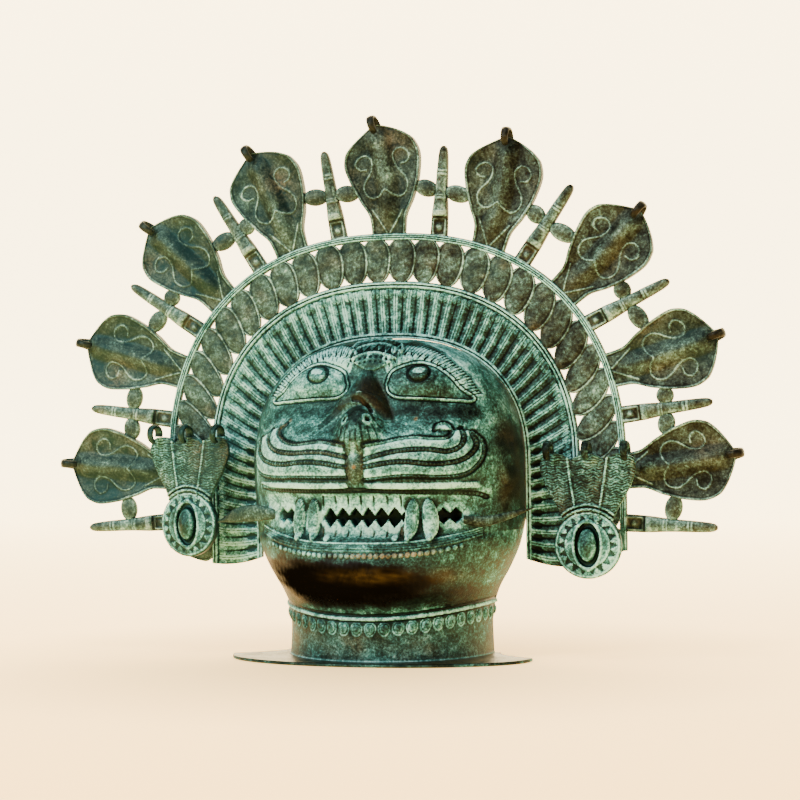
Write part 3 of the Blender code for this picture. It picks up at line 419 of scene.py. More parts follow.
ROPES_LEFT = (
    ((8, 155), (39, 158), (70, 157), (86, 159), (96, 168), (99, 179), (96, 188), (90, 194)),
    ((8, 166), (36, 170), (63, 168), (81, 170), (90, 176), (93, 184), (89, 193)),
    ((8, 172), (31, 178), (55, 180), (73, 178), (82, 182), (84, 189), (81, 197)),
    ((8, 182), (26, 187), (46, 190), (62, 189), (73, 190), (75, 196), (70, 201), (63, 200), (62, 196)))
ROPES_RIGHT = (
    ((-8, 157), (-48, 157), (-84, 157), (-98, 162), (-103, 174), (-101, 186)),
    ((-8, 166), (-40, 170), (-70, 168), (-88, 171), (-96, 179), (-96, 190)),
    ((-8, 174), (-33, 178), (-60, 177), (-78, 180), (-86, 188), (-84, 197)),
    ((-9, 182), (-30, 187), (-56, 185), (-71, 189), (-76, 196), (-70, 202)))
LIP_ROPE = ((-94, 149), (-80, 146.5), (-40, 145.5), (0, 146.5), (40, 145), (70, 144), (92, 142.5),
            (99, 139.5))
NOSE_CRESCENT = ((-6, 212), (1, 210.5), (7, 206.5), (10, 203))
NOSE_CUT = ((-6, 213), (-18, 208.5), (-29, 203.5), (-36, 199))
EYE_LINE = ((18, 234), (22, 244), (33, 249), (43, 251), (55, 248), (67, 239), (76, 230), (87, 221),
            (76, 221.5), (63, 222), (40, 223), (27, 224), (20, 228), (18, 234))
BROW_LINE = ((10, 262), (22, 268), (38, 268), (57, 261), (71, 251), (83, 240), (93, 226))
SHIELD = ((-18, 258), (-16, 269), (0, 272), (20, 270), (27, 264), (25, 257), (14, 250), (2, 246),
          (-10, 251), (-18, 258))
IRIS_X = 0.0435
IRIS_Z = 0.2425


def nose_share(z):
    """0 at the nose's top, 1 at its wings and below."""
    return np.clip((NOSE_TOP_Z - z) / (NOSE_TOP_Z - PAD_Z - 0.006), 0, 1)


def big_forms(x, z):
    """Nose, pad, philtrum and eyeballs: how far they stand out of the bare head."""
    down = nose_share(z)
    half = 0.0042 + (NOSE_HALF + NOSE_WING * (x < -0.001)) * down ** (1 + 0.25 * (x < -0.001))
    slope = np.clip(1 - np.abs(x + 0.001) / half, 0, 1)
    bridge = smooth_curve([(PAD_Z, 0), (PAD_Z + 0.006, 0.25), (NOSE_TIP_Z - 0.006, 0.78), (NOSE_TIP_Z, 1.0),
                           (NOSE_TIP_Z + 0.006, 0.90), (NOSE_TOP_Z, 0)], z)
    nose = NOSE_RISE * bridge * (0.7 * slope ** 0.8 + 0.3 * rise(slope, 0, 0.5))
    pad = PAD_RISE * bump(np.hypot(x / PAD_HALF, (z - PAD_Z) / PAD_HALF), 1.2)
    middle = LIP_LINE_Z + 0.022
    philtrum = 0.0046 * bump(np.hypot(x / 0.0085, (z - middle) / 0.0200), 1.15)
    eye = 0.0060 * bump(np.hypot((np.abs(x) - EYE_X) / 0.036, (z - EYE_Z + 0.002) / 0.018), 1.1)
    return np.maximum(np.maximum(nose, pad), philtrum) + eye


def rope(relief, x, z, points, warm=0.0):
    """A thin twisted cord laid in a dark groove."""
    groove_half, cord_half, twist_length = 0.0026, 0.0014, 0.0028
    distance, run = near(x, z, traced(points), 0.005)
    relief.ridge(distance, groove_half, -0.0011, dark=0.9)
    core = np.clip(1 - (distance / cord_half) ** 2, 0, 1)
    twist = 0.7 + 0.3 * np.sin(2 * math.pi * (run + distance) / twist_length)
    relief.lift += 0.0015 * np.sqrt(core) * twist
    relief.tint(warm=(0.25 + warm) * core)


def moustache(relief, x, z):
    """Pale bands swelling between twisted cords."""
    sides = ((ROPES_LEFT, x > 0.005), (ROPES_RIGHT, x < -0.005))
    for lines, side in sides:
        area = within(x, z, np.vstack([traced(lines[0]), traced(lines[-1])[::-1]])) & side
        relief.lift += 0.0018 * area * rise(np.abs(x), 0.005, 0.012)
        relief.tint(pale=0.30 * area)
    for lines, side in sides:
        for order, line in enumerate(lines):
            golden = 0.35 if line[0][0] < 0 and order > 1 else 0.0
            rope(relief, x, z, line, golden)
    under = band(z, 0.1475, 0.1525, 0.001) * band(np.abs(x), 0.008, 0.095, 0.003)
    relief.lift += 0.0012 * under
    relief.tint(pale=0.5 * under)


def mouth(relief, x, z):
    """Lip cord, gums and teeth, the gaps painted near black as shade, the canines and the lower lip."""
    rope(relief, x, z, LIP_ROPE)
    gum = band(z, 0.107, 0.143, 0.0015) * band(np.abs(x - 0.002), 0, 0.092, 0.004)
    relief.tint(pale=0.55 * gum)
    tooth = 0.0112
    phase = np.mod((x - 0.0015) / tooth, 1)
    split = np.minimum(phase, 1 - phase) * tooth
    front = band(x, -0.034, 0.038, 0.001)
    upper, lower = front * band(z, 0.129, 0.142, 0.001), front * band(z, 0.1075, 0.118, 0.001)
    relief.ridge(np.where(upper + lower > 0.5, split, 1), 0.0010, -0.0007, dark=0.35)
    relief.tint(warm=0.45 * front * band(z, 0.1065, 0.1165, 0.002),
                dark=0.40 * band(x, 0.060, 0.095, 0.004) * band(z, 0.107, 0.143, 0.002))
    zigzag = np.abs(2 * phase - 1)
    bite_z = 0.1245
    gap = (z < bite_z + 0.0075 * (1 - zigzag) ** 0.8) & (z > bite_z - 0.0020 - 0.0072 * (1 - zigzag) ** 0.8)
    gap &= (x > -0.0335) & (x < 0.0375)
    for middle, half in ((-0.0685, 0.0085), (0.0730, 0.0095)):
        side_zigzag = np.abs(2 * np.mod((x - middle) / half + 0.02, 1) - 1)
        gap |= (np.abs(x - middle) < half) & (np.abs(z - bite_z) < 0.0022 + 0.0048 * (1 - side_zigzag))
    fang_z = 0.1215
    for middle, half, tilt in ((-0.0545, 0.0052, 0.05), (-0.0405, 0.0058, 0.0), (0.0435, 0.0060, 0.10),
                               (0.0575, 0.0066, -0.06)):
        along = np.clip((z - fang_z) / 0.0180, -1, 1)
        across = (x - middle - tilt * (z - MOUTH_Z)) / (half * np.maximum(1 - along ** 2, 1e-6) ** 0.6)
        leaf = np.clip(1 - across ** 2, 0, 1)
        inner = leaf > 0
        relief.put(inner, lift=relief.lift + 0.0050 * (leaf * (1 - along ** 2)) ** 0.5 + 0.0010,
                   dark=0.75 * (leaf > 0.35) * (0.7 + 0.3 * along), pale=0.8 * (leaf < 0.35))
        gap &= ~inner
    slit = (np.abs(x + 0.0455 - 0.10 * (z - MOUTH_Z)) < 0.0011) & (np.abs(z - fang_z) < 0.0088)
    # Painted shade: the gaps between the teeth and the slit beside a fang sink into the pocket and are
    # painted near black.
    relief.put(gap | slit, lift=-MOUTH_POCKET, dark=1.6, warm=0, pale=-1)
    for place in (-0.028, 0.031):
        relief.ridge(np.hypot(x - place, z - 0.1065), 0.0030, 0.0016, pale=0.3)
    edge = 0.1025 + 0.0130 * (np.abs(x - 0.001) / 0.098) ** 3
    for order in range(4):
        offset = np.where(np.abs(x) < 0.096, z - edge + 0.0020 * order, 1)
        relief.ridge(offset, 0.0009, 0.0009, **({"dark": 0.45} if order else {"pale": 0.5}))
    pitch, bead_half = 0.0050, 0.0022
    bead = np.hypot(np.mod(x, pitch) - pitch / 2, z - edge + 0.0102)
    bead = np.where(np.abs(x) < 0.083, bead, 1)
    relief.ridge(bead, bead_half, 0.0012, dark=0.25)
    golden = rise(x, -0.045, 0.010) * (1 - rise(x, 0.055, 0.080)) * (bead < bead_half)
    relief.tint(warm=1.2 * golden)


def eyes(relief, x, z):
    """Lids, iris, pupil and the lashes cut over each eye, with a painted highlight on each pupil and the
    eyeballs painted paler on the left, darker on the right.
    """
    a = np.abs(x)
    outline = traced(EYE_LINE, 4)
    ball = within(a, z, outline)
    distance, _ = near(a, z, outline, 0.009)
    low = rise(EYE_Z - 0.006 - z, 0, 0.004)
    outside = np.where(ball, 1, distance)
    relief.ridge(outside - 0.0012, 0.0009, 0.0002 + 0.0014 * low, pale=0.05)
    relief.tint(pale=0.9 * low * bump(outside - 0.0014, 0.0020))
    relief.ridge(distance, 0.0008, -0.0007, dark=1.0)
    relief.ridge(outside - 0.0030, 0.0008, -0.0006, dark=0.7)
    # Painted light and shade: the eyeballs are paler on the left, lit side and darker on the right.
    relief.tint(pale=0.30 * ball * (x < 0), dark=0.10 * ball * (x > 0))
    from_iris = np.hypot((a - IRIS_X) / 1.15, z - IRIS_Z)
    seen = ball | (from_iris < 0.0058)
    relief.ridge(np.where(seen, from_iris - 0.0080, 1), 0.0008, -0.0006, dark=0.8)
    pupil = np.where(seen, from_iris, 1)
    dome = np.clip(1 - (pupil / 0.0068) ** 2, 0, 1)
    relief.lift += 0.0030 * np.sqrt(dome)
    relief.tint(dark=0.8 * (dome > 0))
    # Painted highlight: a white spot painted on the upper part of each pupil's dome.
    painted_glint = np.hypot((a - IRIS_X) / 0.0048, (z - IRIS_Z - 0.0016) / 0.0028)
    relief.put(painted_glint < 1, dark=-1.5)
    relief.tint(pale=3.0 * (painted_glint < 1))
    brow = traced(BROW_LINE)
    to_brow, run = near(a, z, brow, 0.030)
    lid, _ = near(a, z, outline, 0.030)
    above = within(a, z, np.vstack([brow, outline[30:0:-1]])) & ~ball
    pitch = 0.0030
    slant = run + 0.35 * to_brow + 0.0004 * np.sin(run * 2100)
    stroke = np.abs(np.mod(slant, pitch) - pitch / 2)
    reach = 0.0085 + 0.0025 * np.sin(run * 900)
    relief.ridge(np.where((to_brow < reach) & above, stroke, 1), 0.00075, -0.0009, dark=1.1)
    fine = np.abs(np.mod(run + 0.0015, 2 * pitch) - pitch)
    relief.ridge(np.where((lid > 0.006) & (lid < 0.010) & above, fine, 1), 0.0007, -0.0005, dark=0.4)
    relief.ridge(to_brow, 0.0012, -0.0006, dark=0.45)
    relief.tint(pale=0.75 * above)
    return above | ball


def forehead_shield(relief, x, z):
    """The diadem on the forehead: a dotted arc, a row of triangles, an arc line and scales."""
    loop = traced(SHIELD, 4)
    inner = within(x, z, loop)
    edge, _ = near(x, z, loop, 0.004)
    relief.lift += 0.0012 * inner
    relief.put(inner, dark=0.15)
    relief.ridge(np.where(z > 0.260, edge, 1), 0.0011, 0.0010, pale=0.4)
    middle = x - 0.004
    level = z + 14.0 * middle ** 2
    rows = ((0.2705, 0.0046, 0.0013), (0.2575, 0.0046, 0.0013), (0.2538, 0.0046, 0.0011))
    for height, pitch, half in rows:
        column = np.mod(middle, pitch) - pitch / 2
        spot = np.maximum(np.abs(column), np.abs(level - height))
        relief.ridge(np.where(inner, spot, 1), half, -0.0008, dark=0.85)
    column = np.abs(np.mod(middle, 0.0064) / 0.0032 - 1)
    tooth = inner & (level > 0.2618) & (level < 0.2618 + 0.0055 * column)
    relief.lift -= 0.0007 * tooth
    relief.tint(dark=1.0 * tooth)
    for height in (0.2680, 0.2605):
        relief.ridge(np.where(inner, level - height, 1), 0.0009, 0.0009, pale=0.9)
    relief.tint(dark=0.55 * inner * (1 - rise(level, 0.250, 0.260)))


def nose_and_pad(relief, x, z):
    """Nostrils, whisker cuts, the slit under the nose's tip, small red spots, and painted light and shade:
    near black in the slit, darker on the nose's right, a highlight on its tip, a band under the eyes.
    """
    for side in (-1, 1):
        distance = np.hypot(x - side * 0.0095, z - 0.1955)
        relief.ridge(distance - 0.0028, 0.0012, 0.0008, pale=1.0)
        relief.ridge(distance, 0.0018, -0.0022, dark=1.2)
    whisker_pitch = math.pi / 14
    angle = np.arctan2(x, PAD_Z + 0.010 - z)
    around = np.hypot(x, z - PAD_Z)
    spoke = np.abs(np.mod(angle / whisker_pitch, 1) - 0.5) * around * whisker_pitch
    cut = band(around, 0.0085, 0.0195, 0.001) * (z < PAD_Z + 0.004)
    relief.ridge(np.where(cut > 0.5, spoke, 1), 0.0005, -0.0004, dark=0.5)
    # Painted shade: the crescent slit under the nose's tip is a hole, painted near black.
    crescent, _ = near(x, z, traced(NOSE_CRESCENT), 0.004)
    relief.ridge(crescent, 0.0019, -0.0026, dark=1.3)
    # The nose is worn, dark olive bronze; its paint grows from the left flank to the right, and that
    # darkening towards the right is painted shade.
    nose = 1 - rise(np.abs(x - 0.001) - 0.004 - NOSE_HALF * nose_share(z), -0.004, 0.003)
    nose *= band(z, 0.204, 0.240, 0.006) * (0.45 + 0.55 * rise(x, -0.010, 0.004))
    relief.tint(warm=0.42 * nose, polish=0.42 * nose, dark=0.70 * nose)
    wing, _ = near(x, z, traced(NOSE_CUT), 0.004)
    relief.ridge(wing - 0.0010, 0.0018, -0.0002, dark=0.6)
    pad = bump(np.hypot((x + 0.003) / 0.030, (z - PAD_Z + 0.001) / 0.016), 1.0)
    relief.tint(dark=0.55 * pad)
    # Painted highlight: a pale spot on the nose's tip, with its dark paint taken away.
    shine = bump(np.hypot((x + 0.001) / 0.0040, (z - NOSE_TIP_Z - 0.0010) / 0.0022), 1.0)
    relief.tint(pale=3.0 * shine)
    relief.dark -= 0.8 * shine
    spots = ((-0.067, 0.205), (0.045, 0.205), (0.0005, 0.166))
    for spot_x, spot_z in spots:
        spot = bump(np.hypot(x - spot_x, z - spot_z), 0.0030)
        relief.tint(warm=1.6 * spot)
    philtrum = 1 - rise(np.hypot(x / 0.0085, (z - 0.168) / 0.0185), 0.80, 1.05)
    relief.tint(warm=0.48 * philtrum)
    relief.tint(pale=0.9 * philtrum * bump(np.hypot(x + 0.001, (z - 0.176) / 1.4), 0.006))
    relief.put(philtrum > 0.5, dark=0.1)
    # Painted shade: a darker band under the eyes, deeper towards the right side away from the key light.
    under_eye_shade = band(np.abs(x), 0.016, 0.098, 0.014) * band(z, 0.2070, 0.2170, 0.008)
    under_eye_shade *= 0.75 + 0.35 * wobble(x, z, 0.022, 17)
    relief.tint(dark=(0.48 + 0.45 * rise(x, 0, 0.03)) * under_eye_shade)


def collar(relief, x, z, s):
    """The ridge under the chin, the hanging beads below it and the foot line."""
    side = np.abs(x / COLLAR_HALF_WIDTH)
    ridge_z = 0.0385 + 0.009 * side ** 2
    relief.ridge(z - ridge_z, 0.0016, 0.0016, pale=0.7)
    relief.ridge(z - ridge_z - 0.0032, 0.0013, -0.0010, dark=0.6)
    relief.ridge(z - ridge_z + 0.0024, 0.0008, -0.0007, dark=0.6)
    pitch, bead_half = 0.0118, 0.0042
    column = np.mod(s, pitch) - pitch / 2
    drop = z - ridge_z + 0.0078
    bead = np.hypot(column / bead_half, drop * np.where(drop < 0, 0.75, 1.0) / bead_half)
    relief.ridge(bead, 1.0, 0.0022, dark=1.0)
    relief.ridge((bead - 1.12) * bead_half, 0.0008, 0.0003, pale=0.9)
    relief.ridge(z - 0.0022, 0.0020, 0.0006, pale=0.4)
    low = 1 - rise(z, 0.022, 0.034)
    relief.tint(warm=low * (0.45 + 0.35 * wobble(x, z, 0.035, 11)), dark=0.05 * low)


def chin(relief, x, z):
    """The smooth chin, polished dark by handling, with an amber middle that is worn bronze and partly a
    painted reflection, and painted shade where it curves under.
    """
    around = np.hypot((x + 0.020) / 0.120, (z - 0.0685 - 0.7 * x ** 2) / 0.0240)
    edge = around + 0.14 * wobble(x, z, 0.024, 15) + 0.08 * wobble(x, z, 0.007, 16)
    area = (1 - rise(edge, 0.48, 1.20)) * (1 - 0.35 * rise(x, 0.030, 0.085))
    # The dark band where the chin curves under (z 0.048 to 0.064) is painted shade.
    relief.tint(polish=area, dark=0.60 * band(z, 0.048, 0.064, 0.004),
                pale=0.25 * band(z, 0.0420, 0.0480, 0.003) * (0.7 + 0.5 * wobble(x, z, 0.012, 23)))
    # The amber middle is worn bronze, partly a painted warm reflection on the polished chin.
    streak = 0.80 + 0.30 * wobble(0.25 * x, z, 0.0045, 18)
    relief.tint(warm=streak * bump(np.hypot((x - 0.012) / 0.066, (z - 0.0760) / 0.012), 1.0))
    relief.tint(warm=0.8 * bump(np.hypot((x - 0.070) / 0.026, (z - 0.074) / 0.014), 1.0))


def head_relief(points, lower):
    """All carving of the upper or the lower part of the head."""
    x, z = points[..., 0], points[..., 2]
    relief = Relief(x.shape)
    if lower:
        run = np.cumsum(np.linalg.norm(np.diff(points, axis=1, prepend=points[:, :1]), axis=2), axis=1)
        s = run - run[:, -1:] / 2
        collar(relief, x, z, s)
        chin(relief, x, z)
    else:
        moustache(relief, x, z)
        nose_and_pad(relief, x, z)
        eyes(relief, x, z)
        forehead_shield(relief, x, z)
    mouth(relief, x, z)
    width = np.maximum(np.abs(points[:, -1:, 0]), 0.001)
    edge = rise(np.abs(x) / width, 0.86, 0.95) * (z > 0.11)
    rim = np.maximum(edge, rise(z, 0.264, 0.269) * (1 - band(x, -0.018, 0.027, 0.002)))
    relief.tint(dark=(0.50 + 0.25 * wobble(x, z, 0.030, 19)) * rim)
    # Painted light: the upper right edge of the face is painted paler, with its dark paint lessened.
    light = rise(x / width, 0.78, 0.90) * rise(z, 0.185, 0.215)
    relief.dark *= 1 - 0.7 * light
    relief.tint(pale=0.6 * light)
    side_warm = rise(x / width, 0.84, 0.93) * band(z, 0.120, 0.235, 0.020)
    side_warm *= np.clip(0.75 + 0.6 * wobble(points[..., 1], z, 0.050, 20), 0.2, 1.2)
    relief.tint(warm=0.55 * side_warm, polish=0.22 * side_warm)
    relief.lift += 0.00025 * wobble(x, z, 0.030, 1)
    fade = rise(HEAD_HALF_WIDTH + 0.001 - np.abs(x), 0, 0.006)
    return relief, fade


def head_skin(low, high, rows, columns, lower):
    """The outer face of the head between two heights."""
    heights = np.linspace(low, high, rows)
    points, outward = head_base(heights, columns)
    relief, fade = head_relief(points, lower)
    lift = big_forms(points[..., 0], points[..., 2]) + relief.lift * fade
    skin = points + outward * lift[..., None]
    skin[:, 0, 1], skin[:, -1, 1] = PLATE_BACK, PLATE_BACK
    skin[..., 1] = np.maximum(skin[..., 1], -FRONT_REACH)
    return net(skin, relief.paint(5))


def head_inside(rows=60, columns=90):
    """The smooth inner face and the rim that closes the wall at the back."""
    heights = np.linspace(0, HEAD_TOP_Z - WALL - 0.001, rows)
    peak = head_row(SKIN_TOP_Z, np.linspace(-1, 1, columns))
    inner, _ = head_base(heights, columns, WALL)
    outer, _ = head_base(heights, columns)
    x, z = inner[..., 0], inner[..., 2]
    inner[..., 1] -= 0.7 * big_forms(x, z)
    pocket = band(z, 0.1135, 0.1335, 0.001) * (1 - rise(np.abs(x), 0.083, 0.087))
    inner[..., 1] += (MOUTH_POCKET + WALL) * pocket * (np.abs(x) < 0.088)
    inner[:, 0, 1], inner[:, -1, 1] = PLATE_BACK, PLATE_BACK
    paint = {"raised": 0.25, "dark": 0.4}
    rims = [net(np.stack([outer[:, side], inner[:, side]], 1), paint, flip=side == 0) for side in (0, -1)]
    top = net(np.stack([peak, inner[-1]], 0), paint)
    return [net(inner, paint, flip=True), top] + rims


def flange_edge(shares):
    """One half of the flange's outer edge: round in front to a pointed tip at the side, then back."""
    tip = COLLAR_HALF_WIDTH + FLANGE_WIDTH
    front = COLLAR_DEPTH + FLANGE_FRONT
    turn = np.minimum(shares / FLANGE_TIP_SHARE, 1) * math.pi / 2
    homeward = np.maximum(shares - FLANGE_TIP_SHARE, 0) / (1 - FLANGE_TIP_SHARE)
    bend = homeward * (2 - homeward)
    xs = tip * np.sin(turn) + (COLLAR_HALF_WIDTH + FLANGE_BACK - tip) * bend
    ys = FLANGE_TIP_Y - (front + FLANGE_TIP_Y) * np.cos(turn) + (PLATE_BACK - FLANGE_TIP_Y) * homeward
    return xs, ys


def flange(columns=241, rows=14):
    """The flat foot: its top, rounded edge and underside."""
    shares = np.linspace(-1, 1, columns)
    inner = head_row(WALL, shares)
    throat = head_row(WALL, shares, WALL)
    xs, ys = flange_edge(np.abs(shares))
    outer = np.stack([np.copysign(xs, shares), ys, np.full(columns, WALL)], 1)
    spread = np.linspace(0, 1, rows)[:, None, None]
    top = inner[None] + (outer - inner)[None] * spread
    x, y = top[..., 0], top[..., 1]
    top[..., 2] += 0.0004 * wobble(x, y, 0.03, 5) * np.sin(math.pi * spread[..., 0])
    middle = np.array([0, 0.3 * FLANGE_TIP_Y, 0])
    outward = (outer - middle) * (1, 1, 0)
    outward /= np.linalg.norm(outward, axis=1, keepdims=True)
    edge = []
    for turn in np.linspace(math.pi / 2, -math.pi / 2, 7):
        height = WALL / 2 * (1 + math.sin(turn))
        edge.append(outer * (1, 1, 0) + (0, 0, height) + outward * WALL / 2 * (math.cos(turn) - 1))
    edge = np.array(edge)
    under = np.stack([edge[-1], throat * (1, 1, 0)], 0)
    paint = {"raised": 0.30, "dark": 0.60 + 0.3 * wobble(x, y, 0.03, 21), "warm": 0.50, "polish": 0.40}
    rim = {"raised": 0.45 + 0.25 * wobble(edge[..., 0], edge[..., 1], 0.02, 22), "dark": 0.25, "warm": 0.3}
    return [net(top, paint, flip=True), net(edge, rim, flip=True), net(under, {"dark": 0.5}, flip=True)]


def blade(points, halves, thick, paint):
    """A leaf-shaped blade along a line, wide in z."""
    path = spline(points, 10)
    shares = np.linspace(0, 1, len(path))
    half = smooth_curve(halves, shares)
    return tube_net(path, half, thick * (1 - 0.7 * shares), (0, 0, 1), 12, paint)


def build_head(material):
    """The whole mask head: face, chin, collar, foot, inside and the blades at the mouth's corners."""
    paint = {"raised": 0.45, "dark": 0.3, "warm": 0.45}
    left = [(0.083, -0.076, 0.1210), (0.098, -0.072, 0.1190), (0.118, -0.068, 0.1235),
            (0.139, -0.060, 0.1300)]
    left_halves = [(0, 0.0035), (0.3, 0.0045), (0.7, 0.0030), (1, 0.0004)]
    right = [(-0.082, -0.074, 0.1250), (-0.102, -0.070, 0.1260), (-0.122, -0.065, 0.1235),
             (-0.1395, -0.060, 0.1175)]
    right_halves = [(0, 0.0040), (0.35, 0.0072), (0.65, 0.0060), (0.88, 0.0022), (1, 0.0004)]
    pieces = {
        "muzzle": [head_skin(CHIN_SEAM_Z, BROW_SEAM_Z, 180, 480, False)],
        "brow": [head_skin(BROW_SEAM_Z, SKIN_TOP_Z, 140, 500, False)],
        "chin_and_collar": [head_skin(WALL, CHIN_SEAM_Z, 124, 430, True)] + head_inside() + flange(),
        "mouth_blades": [blade(left, left_halves, 0.0022, paint), blade(right, right_halves, 0.0020, paint)]}
    for name, parts in pieces.items():
        make_piece(name, parts, material, "mask_head")


# Crown

def crown_curve(ring_place):
    """Half of an arch of the crown, from its top down its leg: points and their running length."""
    places = (0, 1, 2)
    half = np.interp(ring_place, places, (HEAD_HALF_WIDTH + CLEARANCE, RING1_HALF_WIDTH, RING2_HALF_WIDTH))
    top = np.interp(ring_place, places, (HEAD_TOP_Z + CLEARANCE, RING1_TOP_Z, RING2_TOP_Z))
    power = np.interp(ring_place, places, (HEAD_ARCH_POWER, RING_POWER, RING_POWER))
    if ring_place > 2:
        beyond = (ring_place - 2) * (RING2_HALF_WIDTH - RING1_HALF_WIDTH)
        half, top = half + beyond, top + beyond
    out = (half - HEAD_HALF_WIDTH) / (RING2_HALF_WIDTH - HEAD_HALF_WIDTH)
    end = CROWN_END_Z + CROWN_END_RISE * out - 4 * CROWN_END_SAG * out * (1 - min(out, 1))
    turns = np.linspace(0, math.pi / 2, 241)
    xs = half * np.sin(turns) ** (2 / power)
    zs = HEAD_SPRING_Z + (top - HEAD_SPRING_Z) * np.cos(turns) ** (2 / power)
    xs, zs = np.append(xs, half), np.append(zs, end)
    run = np.concatenate([[0], np.cumsum(np.hypot(np.diff(xs), np.diff(zs)))])
    return xs, zs, run


def crown_row(ring_place, shares):
    """Points on an arch of the crown at shares of its half-length, and the half-length."""
    xs, zs, run = crown_curve(ring_place)
    at = np.abs(shares) * run[-1]
    return np.stack([np.copysign(np.interp(at, run, xs), shares), np.interp(at, run, zs)], -1), run[-1]


def station(index):
    """Root point and direction of the hood or spike at a station of the outer ring."""
    places, turns = (SPIKE_PLACES, SPIKE_TURNS) if index % 2 else (HOOD_PLACES, HOOD_TURNS)
    order = index // 2 + len(places) // 2
    share = places[order]
    (before, root, after), _ = crown_row(2, np.array([share - 0.004, share, share + 0.004]))
    angle = math.atan2(after[1] - before[1], after[0] - before[0]) + math.pi / 2 - math.radians(turns[order])
    return root, np.array([math.cos(angle), math.sin(angle)])


def aside_of(direction):
    """A quarter turn to the right of flat directions."""
    return np.stack([direction[..., 1], -direction[..., 0]], -1)


def axis_points(index, along):
    """Points and directions on the axis of a hood or spike, at distances out from the ring."""
    root, direction = station(index)
    along = np.asarray(along, float)
    if index % 2:
        return root + direction * along[:, None], np.broadcast_to(direction, (len(along), 2))
    bend = HOOD_BEND * (1 - abs(index) / 10)
    reach = np.clip(along, 0, HOOD_LENGTH)[:, None] / HOOD_LENGTH
    left = -aside_of(direction)
    heading = direction + left * 2 * bend * reach / HOOD_LENGTH
    heading /= np.linalg.norm(heading, axis=1, keepdims=True)
    points = root + direction * np.minimum(along, HOOD_LENGTH)[:, None] + left * bend * reach ** 2
    return points + heading * np.maximum(along - HOOD_LENGTH, 0)[:, None], heading


def hood_half(along):
    """Half-width of a cobra hood at a distance out from the ring."""
    neck, widest = HOOD_NECK_HALF, HOOD_HALF_WIDTH
    swell = widest - neck
    return smooth_curve([(-0.05, neck), (0.16, neck + 0.07 * swell), (0.345, neck + 0.50 * swell),
                         (0.53, neck + 0.85 * swell), (0.69, widest), (0.80, 0.92 * widest),
                         (0.875, 0.72 * widest), (0.94, 0.44 * widest), (0.98, 0.22 * widest),
                         (1, CURL_HALF_WIDTH)], along / HOOD_LENGTH)


def spike_half(along):
    """Half-width of a spike at a distance out from the ring."""
    return smooth_curve([(-0.05, SPIKE_ROOT_HALF), (0.25, 0.93 * SPIKE_ROOT_HALF),
                         (0.5, 0.4 * SPIKE_ROOT_HALF + 0.6 * SPIKE_TIP_HALF), (0.9, SPIKE_TIP_HALF),
                         (0.97, 0.75 * SPIKE_TIP_HALF), (1, 0.3 * SPIKE_TIP_HALF)], along / SPIKE_LENGTH)


def shell(front, back, paint, back_paint, edge_paint, step):
    """A carved front with its plain back and the edges all round."""
    rows, columns = ([*range(0, size - 1, step), size - 1] for size in front.shape[:2])
    parts = [net(front, paint), net(back[np.ix_(rows, columns)], back_paint, flip=True)]
    for one, two, flip in ((front[0], back[0], True), (front[-1], back[-1], False),
                           (front[:, 0], back[:, 0], False), (front[:, -1], back[:, -1], True)):
        parts.append(net(np.stack([one, two], 0), edge_paint, flip=flip))
    return parts


def limb(index, length, rows, columns, half_of):
    """Flat places of a hood or spike, their runs out and across, its half-widths and a bare relief."""
    along = np.linspace(-0.002, length, rows)
    middle, heading = axis_points(index, along)
    half = half_of(along)[:, None]
    across = np.linspace(-1, 1, columns)[None] * half
    flat = middle[:, None] + aside_of(heading)[:, None] * across[..., None]
    return flat, np.broadcast_to(along[:, None], across.shape), across, half, Relief(across.shape)


def plate_sides(flat, lift, sink=0.0):
    """Front and back points of the crown's plate; a sunk back lies a little inside, where plates overlap."""
    x, z = flat[..., 0], flat[..., 1]
    front = np.stack([x, -PLATE_FRONT - lift, z], -1)
    return front, np.stack([x, np.full(x.shape, PLATE_BACK - sink), z], -1)


def plate(flat, relief, paint, step=4, sink=0.0):
    """The crown's plate over flat places, with its relief."""
    plain = {"raised": 0.4, "dark": 0.25}
    return shell(*plate_sides(flat, relief.lift, sink), paint, plain, plain, step)


def domed_disc(front, back, paint, rim_paint, back_paint):
    """A disc of closed rings: its front, rim and flat back."""
    return [net(front, paint, closed=True), net(np.stack([front[-1], back[-1]], 0), rim_paint, closed=True),
            net(back[[0, -1]], back_paint, closed=True, flip=True)]


def curl(root, direction, start, steps):
    """A path from a flat root that curls forward and round."""
    turns = np.linspace(start, CURL_TURN, steps)
    out, forward = CURL_RADIUS * np.sin(turns), CURL_RADIUS * (1 - np.cos(turns))
    return np.stack([root[0] + direction[0] * out, -forward, root[1] + direction[1] * out], 1)


